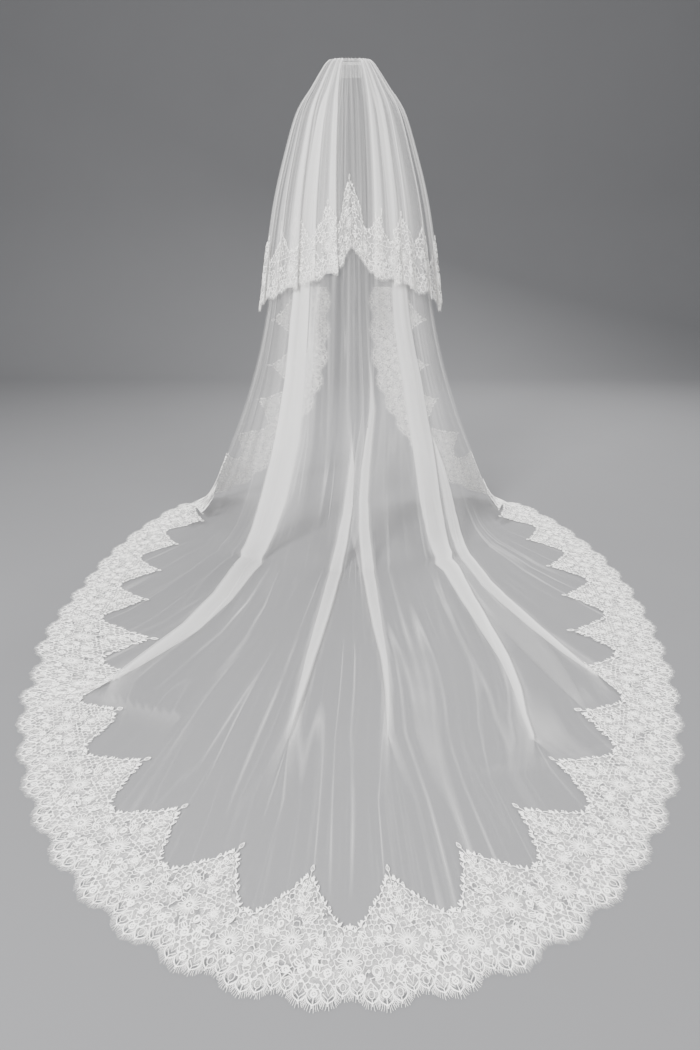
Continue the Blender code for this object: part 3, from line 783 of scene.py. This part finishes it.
def edge_reach(along, valley, peak):
    """How far in the lace reaches, by distance from the peak's middle; a little point stands in
    each valley."""
    away = np.clip(np.abs(along) / (DRAWN_PITCH / 2), 0, 1)
    point = np.clip((away - 0.88) / 0.12, 0, 1) * VALLEY_POINT
    return valley + (peak - valley) * (1 - away) ** EDGE_SHARPNESS + point


def draw_hem(drawing, cut, thread):
    """The scallops' pointed lobes and their eyelash threads."""
    pitch = DRAWN_PITCH / LOBES_PER_REPEAT
    for lobe in range(LOBES_PER_REPEAT):
        along = -DRAWN_PITCH / 2 + (lobe + 0.5) * pitch
        tip = hem_cut(along, DRAWN_PITCH / 2, cut) + thread
        t = np.linspace(0, 1, 8)
        side = np.sin(math.pi * t**0.80) * LOBE_HALF_WIDTH
        rise = tip + LOBE_LENGTH * t
        drawing.cord(np.stack([along + side, rise], axis=-1), 0.0018, 0.0010)
        drawing.cord(np.stack([along - side, rise], axis=-1), 0.0018, 0.0010)
        drawing.cord([(along, tip - thread * 0.35), (along, tip + 0.006)], 0.0016, 0.0008)
        fill_lobe(drawing, lobe, along, tip)
        for place in np.linspace(-0.46, 0.46, THREADS_PER_LOBE):
            up = abs(place)
            side = math.copysign(math.sin(math.pi * up**0.80) * LOBE_HALF_WIDTH, place)
            start = np.array([along + side, tip + LOBE_LENGTH * up])
            way = start - np.array([along, tip + LOBE_LENGTH * 0.80])
            way = way / np.linalg.norm(way)
            length = thread * (0.80 + 0.20 * drawing.chance.random())
            lean = np.array([way[1], -way[0]]) * (drawing.chance.random() - 0.5) * 0.0022
            drawing.cord([start, start + way * length * 0.6 + lean, start + way * length],
                         np.array([0.0007, 0.0006, 0.0004]))


def fill_lobe(drawing, lobe, along, tip):
    """Small loops and bars inside a lobe, in turn."""
    middle = tip + LOBE_LENGTH * 0.42
    if lobe % 5 == 2:
        drawing.ring((along, middle + 0.004), 0.0050, 0.0030, 9, 0.0010)
        drawing.eyelets((along, middle + 0.004), 0.0045, 4)
        drawing.cord([(along, tip + 0.004), (along, middle)], 0.0013)
    elif lobe % 2:
        drawing.ring((along, middle), 0.0052, 0.0013, 9, 0.0007, 1.35)
        arch = [(along - 0.010, middle + 0.004), (along, middle + 0.010), (along + 0.010, middle + 0.004)]
        drawing.cord(arch, 0.0013)
    else:
        low_bar = [(along - 0.009, middle), (along, middle - 0.008), (along + 0.009, middle)]
        high_bar = [(along - 0.006, middle + 0.012), (along, middle - 0.002), (along + 0.006, middle + 0.012)]
        drawing.cord(low_bar, 0.0013)
        drawing.cord(high_bar, 0.0013)


def draw_edge(drawing, valley, peak):
    """The pointed inner edge, in small arches with a picot on each joint, and its sprigs."""
    top = peak - SPRIG_HEIGHT
    joints = np.linspace(0.035, 1.0, BUDS_PER_EDGE + 1) * DRAWN_PITCH / 2
    for side in (-1, 1):
        for i in range(BUDS_PER_EDGE):
            away = np.linspace(joints[i], joints[i + 1], 6)
            reach = edge_reach(away, valley, top)
            bulge = np.sin(np.linspace(0, math.pi, 6)) * 0.0036
            points = np.stack([side * (away + bulge * 0.75), reach + bulge * 0.65], axis=-1)
            drawing.cord(points, 0.0018, 0.0009)
            foot = np.array([side * joints[i + 1], reach[-1]])
            out = math.radians(48 + 22 * (i % 2))
            angle = out if side > 0 else math.pi - out
            drawing.bud(foot, angle, 0.0085 if i % 3 else 0.0120, 0.0022)
            if i % 3 == 1:
                drawing.ring(points[3] + np.array([side * 0.0030, 0.0030]), 0.0028, 0.0016, 7, 0.0008)
            if i % 3 == 0:
                drawing.bud(points[2], angle + 0.5, 0.0075, 0.0018)
                drawing.bud(points[4], angle - 0.5, 0.0075, 0.0018)
    drawing.cord([(0.0, top - 0.02), (0.001, peak - 0.026), (0.0, peak - 0.012)], 0.0016, 0.0008)
    drawing.leaf((0.0, peak - 0.0155), math.radians(84), 0.0155, 0.0050, 0.0017)
    for side in (-1, 1):
        heart = np.array([side * 0.0085, peak - 0.027 - 0.004 * (side + 1) / 2])
        drawing.ring(heart, 0.0034, 0.0026, 8, 0.0010)
        for angle in (-60, -15, 30, 75):
            turn = math.radians(angle if side > 0 else 180 - angle)
            drawing.bud(heart, turn, 0.0078, 0.0019)
    heart = np.array([DRAWN_PITCH / 2, valley + VALLEY_POINT])
    for angle in (35, 90, 145):
        drawing.bud(heart, math.radians(angle), 0.0110, 0.0022)
    drawing.ring(heart - np.array([0.0, 0.008]), 0.0036, 0.0016, 8, 0.0008)


def draw_net(drawing, cut, thread, valley, peak, work):
    """An uneven honeycomb of cord that joins the flowers to the edges, dotted where cords meet."""
    clear = [(f.along, f.inward, f.radius * 0.86) for f in FLOWERS]
    clear += [(f.along - DRAWN_PITCH, f.inward, f.radius * 0.86) for f in FLOWERS]
    clear += [(s.along, s.inward, s.size * 0.8) for s in SCROLLS]
    steps = work.cells * 2
    rows = int(peak / work.row) + 2
    wander = (drawing.chance.random((rows, steps, 2)) - 0.5) * work.wander
    low = thread + LOBE_LENGTH * 0.66

    def node(i, j):
        shift = wander[j, i % steps]
        along = -DRAWN_PITCH / 2 + i * DRAWN_PITCH / steps + shift[0]
        return np.array([along, low + j * work.row + ((i + j) % 2) * work.point + shift[1]])

    def worked(point):
        if point[1] < hem_cut(point[0], DRAWN_PITCH / 2, cut) + low - 0.004:
            return False
        if point[1] > edge_reach(point[0], valley, peak - SPRIG_HEIGHT) + 0.001:
            return False
        return all(math.hypot(point[0] - x, point[1] - y) > radius for x, y, radius in clear)

    for j in range(rows - 1):
        for i in range(steps):
            ends = [(i + 1, j)]
            if (i + j) % 2:
                ends.append((i, j + 1))
            start = node(i, j)
            if not worked(start):
                continue
            for end in ends:
                finish = node(*end)
                if not worked(finish) or drawing.chance.random() < MISSING_CORDS:
                    continue
                bow = np.array([start[1] - finish[1], finish[0] - start[0]])
                middle = (start + finish) / 2 + bow * (drawing.chance.random() - 0.5) * 0.36
                width = work.width * (1 + 0.5 * drawing.chance.random())
                drawing.cord([start, middle, finish], width, 0.0006)
            if drawing.chance.random() < 0.16:
                drawing.ring(start, 0.0021, 0.0018, 7, 0.0009)


def draw_repeat(cut, thread, valley, peak, work):
    """One whole repeat of the lace, flat."""
    drawing = Drawing(LACE_SEED)
    draw_hem(drawing, cut, thread)
    draw_edge(drawing, valley, peak)
    draw_net(drawing, cut, thread, valley, peak, work)
    for flower in FLOWERS if work is LONG_WORK else FLOWERS[:2]:
        drawing.flower((flower.along, flower.inward), flower.radius, flower.petals)
    for disc in DISCS if work is LONG_WORK else DISCS[:3]:
        drawing.ring((disc.along, disc.inward), disc.radius * 0.8, 0.0036, 12, 0.0010)
        drawing.eyelets((disc.along, disc.inward), disc.radius * 0.7, 4)
    for scroll in SCROLLS:
        drawing.scroll((scroll.along, scroll.inward), scroll.size, math.radians(scroll.turn), scroll.hand)
    for leaf in LEAVES if work is LONG_WORK else LEAVES[:6]:
        drawing.leaf((leaf.along, leaf.inward), math.radians(leaf.angle), leaf.length, leaf.half)
    mesh = bpy.data.meshes.new("lace_repeat")
    drawing.bm.to_mesh(mesh)
    drawing.bm.free()
    return mesh


def repeated(name, repeat, count):
    """That many repeats side by side in one flat mesh."""
    carrier = bpy.data.objects.new(name, repeat)
    bpy.context.scene.collection.objects.link(carrier)
    row = carrier.modifiers.new("repeats", "ARRAY")
    row.count = count
    row.use_relative_offset = False
    row.use_constant_offset = True
    row.constant_offset_displace = (DRAWN_PITCH, 0.0, 0.0)
    graph = bpy.context.evaluated_depsgraph_get()
    mesh = bpy.data.meshes.new_from_object(carrier.evaluated_get(graph))
    bpy.data.objects.remove(carrier)
    return mesh


def lace_cords(name, repeat, border, place, first, count, total, squeeze):
    """A stretch of the lace's cords, laid along the border from one repeat to another."""
    mesh = repeated(name, repeat, count)
    flat = vertex_places(mesh)
    pitch = (border.length[-1] - border.length[0]) / total
    along = border.length[0] + pitch * (first + 0.5) + flat[:, 0] * pitch / DRAWN_PITCH
    strand, level = border.at(along, flat[:, 1] * squeeze)
    points, _, _ = place(strand, level, LACE_LIFT + CORD_LIFT + flat[:, 2])
    return finished(name, mesh, points, flat[:, :2] + np.array([[first * DRAWN_PITCH, 0.0]]))


def lace_ground(name, border, place, total, cut, valley, peak, thread):
    """The fine net that the cords are worked on, cut to the lace's outline."""
    columns = total * 16 + 1
    rows = 12
    span = border.length[-1] - border.length[0]

    def lay(column, row):
        share = column / (columns - 1)
        position = (share * total) % 1.0
        flat_along = (position - 0.5) * DRAWN_PITCH
        low = hem_cut(flat_along, DRAWN_PITCH / 2, cut) + thread + 0.010
        high = edge_reach(flat_along, valley, peak - SPRIG_HEIGHT)
        inward = low + (high - low) * row / (rows - 1)
        strand, level = border.at(border.length[0] + share * span, inward)
        points, _, gathered = place(strand, level, LACE_LIFT)
        chart = np.stack([share * total * DRAWN_PITCH, inward], axis=-1)
        return points, gathered, chart

    return laid_grid(name, columns, rows, lay)


class Value:
    """A socket that Python's own arithmetic works on; each step adds a Math node."""

    def __init__(self, look, socket):
        self.look = look
        self.socket = socket

    def math(self, operation, first, second=0.0):
        return self.look.add("ShaderNodeMath", {"operation": operation}, {0: first, 1: second})

    def __add__(self, other):
        return self.math("ADD", self, other)

    def __sub__(self, other):
        return self.math("SUBTRACT", self, other)

    def __rsub__(self, other):
        return self.math("SUBTRACT", other, self)

    def __mul__(self, other):
        return self.math("MULTIPLY", self, other)

    def __pow__(self, other):
        return self.math("POWER", self, other)

    def __abs__(self):
        return self.math("ABSOLUTE", self)

    __radd__ = __add__
    __rmul__ = __mul__

    def band(self, low, high):
        """0 below low, 1 above high, and straight between."""
        settings = {"clamp": True}
        values = {"Value": self, "From Min": low, "From Max": high}
        return self.look.add("ShaderNodeMapRange", settings, values, "Result")


class Look:
    """A material on the Principled shader, built up node by node."""

    def __init__(self, name, fixed):
        self.material = bpy.data.materials.new(name)
        self.material.use_nodes = True
        self.tree = self.material.node_tree
        self.shader = self.tree.nodes["Principled BSDF"]
        for socket, value in fixed.items():
            self.shader.inputs[socket].default_value = value

    def add(self, kind, settings, values, output=0):
        node = self.tree.nodes.new(kind)
        for key, value in settings.items():
            setattr(node, key, value)
        for key, value in values.items():
            self.connect(node.inputs[key], value)
        return Value(self, node.outputs[output])

    def connect(self, socket, value):
        if isinstance(value, Value):
            self.tree.links.new(value.socket, socket)
        else:
            socket.default_value = value

    def set(self, **sockets):
        for name, value in sockets.items():
            self.connect(self.shader.inputs[name.replace("_", " ")], value)

    def chart(self):
        return self.add("ShaderNodeUVMap", {"uv_map": "cloth"}, {}, "UV")

    def stretched(self, place, scale):
        settings = {"operation": "MULTIPLY"}
        return self.add("ShaderNodeVectorMath", settings, {0: place, 1: scale}, "Vector")

    def noise(self, place, scale, detail=2.0, roughness=0.5):
        values = {"Vector": place, "Scale": scale, "Detail": detail, "Roughness": roughness}
        return self.add("ShaderNodeTexNoise", {}, values, 0)

    def mix(self, factor, first, second):
        node = self.tree.nodes.new("ShaderNodeMix")
        node.data_type = "RGBA"
        self.connect(node.inputs[0], factor)
        self.connect(node.inputs[6], first)
        self.connect(node.inputs[7], second)
        return Value(self, node.outputs[2])

    def bump(self, height, strength, distance):
        values = {"Height": height, "Strength": strength, "Distance": distance}
        return self.add("ShaderNodeBump", {}, values, "Normal")


def opaque(colour):
    return (colour[0], colour[1], colour[2], 1.0)


def tulle_finish(name, sizes, colours):
    """Sheer net: clear where one layer lies flat, and white where it gathers, folds or creases."""
    look = Look(name, {"Roughness": 0.62, "IOR": 1.40, "Sheen Weight": 0.35, "Sheen Roughness": 0.5})
    chart = look.chart()
    gathered = look.add("ShaderNodeAttribute", {"attribute_name": "gathered"}, {}, "Fac")
    drawn = look.noise(look.stretched(chart, (34.0, 0.38, 1.0)), 1.0, 1.0, 0.5)
    hair = look.noise(look.stretched(chart, (118.0, 0.6, 1.0)), 1.0, 2.0, 0.55)
    patch = look.noise(look.stretched(chart, (7.0, 2.6, 1.0)), 1.0, 2.0, 0.5)
    crinkle = look.noise(look.stretched(chart, (40.0, 0.7, 1.0)), 1.0, 1.0, 0.5)
    drawn_line = 1 - abs(drawn - 0.5).band(0.0, 0.020)
    hair_line = 1 - abs(hair - 0.5).band(0.0, 0.045)
    crinkle_line = 1 - abs(crinkle - 0.5).band(0.0, 0.016)
    where = patch.band(0.38, 0.66)
    lines = drawn_line * 0.24 * where + hair_line * 0.05 * where + crinkle_line * 0.05 * (1 - where)
    place = look.add("ShaderNodeTexCoord", {}, {}, "Object")
    net = look.add("ShaderNodeTexVoronoi", {"feature": "DISTANCE_TO_EDGE"},
                   {"Vector": place, "Scale": 620.0}, "Distance")
    mesh_hole = net.band(0.05, 0.30) * 0.16
    cover = gathered * (sizes.gathered_cover - sizes.sheer_cover) + sizes.sheer_cover
    cover = cover + lines * (1.2 - gathered) - mesh_hole * (1 - gathered)
    tone = look.mix(patch.band(0.3, 0.7), opaque(colours.tulle), opaque([c * 0.95 for c in colours.tulle]))
    height = drawn * 0.6 + crinkle * 0.4
    look.set(Base_Color=tone, Alpha=cover.band(0.0, 1.0), Normal=look.bump(height, 0.35, 0.004))
    return look.material


def ground_finish(name, colours, share):
    """The lace's fine net, worked closer in some places than others."""
    look = Look(name, {"Roughness": 0.75, "IOR": 1.40, "Sheen Weight": 0.2})
    chart = look.chart()
    cell = look.add("ShaderNodeTexVoronoi", {"feature": "DISTANCE_TO_EDGE"},
                    {"Vector": chart, "Scale": 420.0}, "Distance")
    worked = look.noise(chart, 55.0, 2.0, 0.6).band(0.42, 0.60)
    open_work = look.noise(chart, 38.0, 1.0, 0.4).band(0.60, 0.66)
    net = 1 - cell.band(0.06, 0.22)
    cover = (net * 0.24 + 0.03 + worked * 0.16) * (1 - open_work * 0.9) * share
    tone = look.mix(worked, opaque([c * 0.93 for c in colours.lace]), opaque(colours.lace))
    look.set(Base_Color=tone, Alpha=cover.band(0.0, 1.0), Normal=look.bump(cell, 0.4, 0.001))
    return look.material


def cord_finish(name, colours):
    """Soft matt cotton cord with a twist and small uneven shades."""
    look = Look(name, {"Roughness": 0.78, "IOR": 1.45, "Sheen Weight": 0.45, "Sheen Roughness": 0.45})
    chart = look.chart()
    shade = look.noise(chart, 34.0, 3.0, 0.6)
    wave = look.add("ShaderNodeTexWave", {"wave_type": "BANDS", "bands_direction": "DIAGONAL"},
                    {"Vector": chart, "Scale": 330.0, "Distortion": 1.5}, "Fac")
    tone = look.mix(shade.band(0.3, 0.7), opaque(colours.lace), opaque([c * 0.90 for c in colours.lace]))
    look.set(Base_Color=tone, Roughness=shade * 0.16 + 0.70, Normal=look.bump(wave, 0.30, 0.0006))
    return look.material


def comb_finish(name, colours):
    """Clear moulded plastic, faintly clouded."""
    look = Look(name, {"IOR": 1.49, "Transmission Weight": 0.55, "Coat Weight": 0.3})
    place = look.add("ShaderNodeTexCoord", {}, {}, "Object")
    cloud = look.noise(place, 60.0, 3.0, 0.55)
    tone = look.mix(cloud, opaque(colours.comb), opaque([c * 0.9 for c in colours.comb]))
    look.set(Base_Color=tone, Roughness=cloud * 0.12 + 0.14, Normal=look.bump(cloud, 0.08, 0.001))
    return look.material


def plain_finish(name, colour):
    """The studio's seamless paper."""
    look = Look(name, {"IOR": 1.3})
    place = look.add("ShaderNodeTexCoord", {}, {}, "Object")
    grain = look.noise(place, 3.0, 2.0, 0.5)
    tone = look.mix(grain, opaque(colour), opaque([c * 0.97 for c in colour]))
    look.set(Base_Color=tone, Roughness=grain * 0.05 + 0.88)
    return look.material


class VeilSizes(bpy.types.PropertyGroup):
    sheer_cover: bpy.props.FloatProperty(
        name="Sheer cover", description="How much one flat layer of tulle hides",
        default=0.105, min=0.0, max=1.0, subtype="FACTOR")
    gathered_cover: bpy.props.FloatProperty(
        name="Gathered cover", description="How much tulle hides where it is gathered tight",
        default=0.66, min=0.0, max=1.0, subtype="FACTOR")
    thread: bpy.props.FloatProperty(
        name="Eyelash length", description="Length of the threads along the lace's hem",
        default=0.013, min=0.002, max=0.03, unit="LENGTH")
    scallop: bpy.props.FloatProperty(
        name="Scallop depth", description="How far the hem is cut back between scallops",
        default=0.024, min=0.0, max=0.05, unit="LENGTH")
    camera_height: bpy.props.FloatProperty(
        name="Camera height", description="The camera's height over the floor",
        default=1.078, min=0.1, max=5.0, unit="LENGTH")
    camera_away: bpy.props.FloatProperty(
        name="Camera distance", description="From the camera to the comb, along the floor",
        default=2.856, min=0.5, max=20.0, unit="LENGTH")
    camera_pitch: bpy.props.FloatProperty(
        name="Camera pitch", description="How far the camera looks down",
        default=math.radians(22.15), subtype="ANGLE")


class VeilColours(bpy.types.PropertyGroup):
    tulle: bpy.props.FloatVectorProperty(
        name="Tulle", description="Colour of the tulle", size=3,
        default=(0.74, 0.73, 0.72), min=0.0, max=1.0, subtype="COLOR")
    lace: bpy.props.FloatVectorProperty(
        name="Lace", description="Colour of the lace", size=3,
        default=(0.95, 0.935, 0.905), min=0.0, max=1.0, subtype="COLOR")
    comb: bpy.props.FloatVectorProperty(
        name="Comb", description="Colour of the comb", size=3,
        default=(0.85, 0.85, 0.83), min=0.0, max=1.0, subtype="COLOR")
    floor: bpy.props.FloatVectorProperty(
        name="Floor", description="Colour of the studio floor", size=3,
        default=(0.15, 0.15, 0.154), min=0.0, max=1.0, subtype="COLOR")


def put_on(piece, finish, *nodes):
    """Finishes a piece, ties it to the body and hides the CAD nodes it stands for."""
    piece.data.materials.clear()
    piece.data.materials.append(finish)
    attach(piece, "root")
    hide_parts(*nodes)
    return piece


def hem_columns(border, stop):
    """Each strand's last level, a little inside the hem."""
    strand, level = border.at(border.length, np.full(len(border.length), stop))
    inside = np.abs(strand) < LAST_STRAND
    order = np.argsort(strand[inside])
    return strand[inside][order], level[inside][order]


class VEIL_OT_long_tulle(bpy.types.Operator):
    """Long tier: sheer tulle from the comb to the train, with its laid folds"""

    bl_idname = "veil.long_tulle"
    bl_label = "Long tier tulle"

    def execute(self, context):
        border = Border(border_line(), BORDER_PEAK_DEPTH)
        hem_strand, hem_level = hem_columns(border, TULLE_STOPS_SHORT)
        last = np.abs(hem_strand).max()
        columns = with_creases(crowded(-last, last, LONG_COLUMNS, 0.34, 1.6), TRAIN_FOLDS)
        levels = even_levels(columns, 0.0, np.interp(columns, hem_strand, hem_level),
                             np.linspace(0, 1, LONG_ROWS))

        def lay(column, row):
            cloth, level = columns[column], levels[row, column]
            points, _, gathered = long_place(cloth, level, TULLE_LIFT)
            return points, gathered, np.stack([cloth, run_down(level)], axis=-1)

        finish = tulle_finish("bridal_tulle_long", context.scene.veil_sizes, context.scene.veil_colours)
        piece = laid_grid("long_tulle", len(columns), LONG_ROWS, lay)
        put_on(piece, finish, "long_tier_tulle")
        return {"FINISHED"}


class VEIL_OT_short_tulle(bpy.types.Operator):
    """Short tier: tulle gathered over the comb, in laid folds either side of the centre"""

    bl_idname = "veil.short_tulle"
    bl_label = "Short tier tulle"

    def execute(self, context):
        columns = np.linspace(-SHORT_EDGE_STRAND, SHORT_EDGE_STRAND, SHORT_COLUMNS)
        columns = with_creases(columns, SHORT_FOLDS)
        shares = np.linspace(0, 1, SHORT_ROWS - RIDGE_ROWS) ** 1.15
        hem = level_at_height(short_height(columns) + SHORT_TULLE_STOPS)
        levels = even_levels(columns, 0.0, hem, shares)

        def lay(column, row):
            cloth = columns[column]
            above = row - RIDGE_ROWS
            level = levels[np.maximum(above, 0), column]
            points, _, gathered = short_place(cloth, level)
            points = over_the_comb(points, cloth, above / RIDGE_ROWS)
            return points, gathered, np.stack([cloth, run_down(level) + above * (above < 0) * 0.002], axis=-1)

        finish = tulle_finish("bridal_tulle_short", context.scene.veil_sizes, context.scene.veil_colours)
        piece = laid_grid("short_tulle", len(columns), SHORT_ROWS, lay)
        put_on(piece, finish, "short_tier_tulle")
        return {"FINISHED"}


class VEIL_OT_long_lace(bpy.types.Operator):
    """Long tier's lace: a fine ground with corded flowers, leaves and an eyelash hem"""

    bl_idname = "veil.long_lace"
    bl_label = "Long tier lace"

    def execute(self, context):
        sizes, colours = context.scene.veil_sizes, context.scene.veil_colours
        border = Border(border_line(), BORDER_PEAK_DEPTH)
        repeat = draw_repeat(sizes.scallop, sizes.thread, BORDER_VALLEY_DEPTH, BORDER_PEAK_DEPTH, LONG_WORK)
        finish = cord_finish("lace_cord", colours)
        stretch = math.ceil(BORDER_PEAKS / LACE_STRETCHES)
        cords = []
        for first in range(0, BORDER_PEAKS, stretch):
            count = min(stretch, BORDER_PEAKS - first)
            name = f"long_lace_cords_{len(cords) + 1}"
            piece = lace_cords(name, repeat, border, long_place, first, count, BORDER_PEAKS, 1.0)
            cords.append(put_on(piece, finish, "long_tier_lace_border"))
        ground = lace_ground("long_lace_ground", border, long_place, BORDER_PEAKS, sizes.scallop,
                             BORDER_VALLEY_DEPTH, BORDER_PEAK_DEPTH, sizes.thread)
        put_on(ground, ground_finish("lace_ground", colours, 1.0), "long_tier_lace_border")
        return {"FINISHED"}


class VEIL_OT_short_lace(bpy.types.Operator):
    """Short tier's lace, as the long tier's and folded with its cloth"""

    bl_idname = "veil.short_lace"
    bl_label = "Short tier lace"

    def execute(self, context):
        sizes, colours = context.scene.veil_sizes, context.scene.veil_colours
        border = ShortBand()
        squeeze = SHORT_PEAK_DEPTH / BORDER_PEAK_DEPTH
        repeat = draw_repeat(sizes.scallop, sizes.thread, BORDER_VALLEY_DEPTH, BORDER_PEAK_DEPTH, SHORT_WORK)
        piece = lace_cords("short_lace_cords", repeat, border, short_place, 0, SHORT_PEAKS, SHORT_PEAKS,
                           squeeze)
        put_on(piece, cord_finish("short_lace_cord", colours), "short_tier_lace_border")
        ground = lace_ground("short_lace_ground", border, short_place, SHORT_PEAKS, sizes.scallop * squeeze,
                             BORDER_VALLEY_DEPTH * squeeze, SHORT_PEAK_DEPTH, sizes.thread * squeeze)
        put_on(ground, ground_finish("short_lace_ground", colours, 0.6), "short_tier_lace_border")
        return {"FINISHED"}


class VEIL_OT_comb(bpy.types.Operator):
    """The comb, which keeps its CAD shape and gets its clear plastic"""

    bl_idname = "veil.comb"
    bl_label = "Comb"

    def execute(self, context):
        finish = comb_finish("comb_clear_plastic", context.scene.veil_colours)
        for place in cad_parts["comb"].material_slots:
            place.material = finish
        return {"FINISHED"}


class VEIL_OT_stage(bpy.types.Operator):
    """Floor that sweeps up into a backdrop, soft lights and the camera"""

    bl_idname = "veil.stage"
    bl_label = "Stage"

    def execute(self, context):
        sizes = context.scene.veil_sizes
        bm = bmesh.new()
        bmesh.ops.create_grid(bm, x_segments=2, y_segments=60, size=1.0)
        for vert in bm.verts:
            t = vert.co.y * 0.5 + 0.5
            sweep = np.clip((t - SWEEP_START) / (1 - SWEEP_START), 0, 1)
            angle = min(sweep * 2, 1) * math.pi / 2
            vert.co.y = FLOOR_NEAR + (FLOOR_FAR - FLOOR_NEAR) * min(t / SWEEP_START, 1)
            vert.co.y += SWEEP_RADIUS * math.sin(angle)
            rise = SWEEP_RADIUS * (1 - math.cos(angle)) + max(sweep * 2 - 1, 0) * BACKDROP_HEIGHT
            vert.co.z = FLOOR_HEIGHT + rise
            vert.co.x *= FLOOR_HALF_WIDTH
        mesh = bpy.data.meshes.new("studio_floor")
        bm.to_mesh(mesh)
        bm.free()
        mesh.shade_smooth()
        floor = bpy.data.objects.new("studio_floor", mesh)
        context.scene.collection.objects.link(floor)
        mesh.materials.append(plain_finish("studio_paper", context.scene.veil_colours.floor))
        world = bpy.data.worlds.new("studio_air")
        world.use_nodes = True
        air = world.node_tree.nodes["Background"]
        air.inputs["Color"].default_value = (0.95, 0.97, 1.0, 1.0)
        air.inputs["Strength"].default_value = 0.62
        context.scene.world = world
        for name, place, aim, size, power in LIGHTS:
            lamp = bpy.data.lights.new(name, "AREA")
            lamp.size = size
            lamp.energy = power
            light = bpy.data.objects.new(name, lamp)
            light.location = place
            way = np.array(aim) - np.array(place)
            light.rotation_euler = (
                math.atan2(math.hypot(way[0], way[1]), -way[2]), 0.0,
                math.atan2(way[1], way[0]) - math.pi / 2)
            context.scene.collection.objects.link(light)
        lens = bpy.data.cameras.new("camera")
        lens.lens = 24.0
        lens.sensor_width = 36.0
        lens.sensor_fit = "AUTO"
        camera = bpy.data.objects.new("camera", lens)
        camera.location = (0.0, -sizes.camera_away, FLOOR_HEIGHT + sizes.camera_height)
        camera.rotation_euler = (math.pi / 2 - sizes.camera_pitch, 0.0, 0.0)
        context.scene.collection.objects.link(camera)
        context.scene.camera = camera
        return {"FINISHED"}


class VEIL_PT_parts(bpy.types.Panel):
    """The veil's pieces, in the order they are made"""

    bl_idname = "VEIL_PT_parts"
    bl_label = "Bridal veil"
    bl_space_type = "VIEW_3D"
    bl_region_type = "UI"
    bl_category = "Veil"

    def draw(self, context):
        for group in (context.scene.veil_sizes, context.scene.veil_colours):
            for name in group.__annotations__:
                self.layout.prop(group, name)
        for step in STEPS:
            self.layout.operator(step.bl_idname)


STEPS = (
    VEIL_OT_stage, VEIL_OT_comb, VEIL_OT_long_tulle, VEIL_OT_long_lace, VEIL_OT_short_tulle,
    VEIL_OT_short_lace,
)
CLASSES = (VeilSizes, VeilColours, *STEPS, VEIL_PT_parts)


def register():
    for entry in CLASSES:
        bpy.utils.register_class(entry)
    bpy.types.Scene.veil_sizes = bpy.props.PointerProperty(type=VeilSizes)
    bpy.types.Scene.veil_colours = bpy.props.PointerProperty(type=VeilColours)


def unregister():
    del bpy.types.Scene.veil_colours
    del bpy.types.Scene.veil_sizes
    for entry in reversed(CLASSES):
        bpy.utils.unregister_class(entry)


def main():
    register()
    for step in STEPS:
        group, call = step.bl_idname.split(".")
        getattr(getattr(bpy.ops, group), call)()


if __name__ == "__main__":
    main()
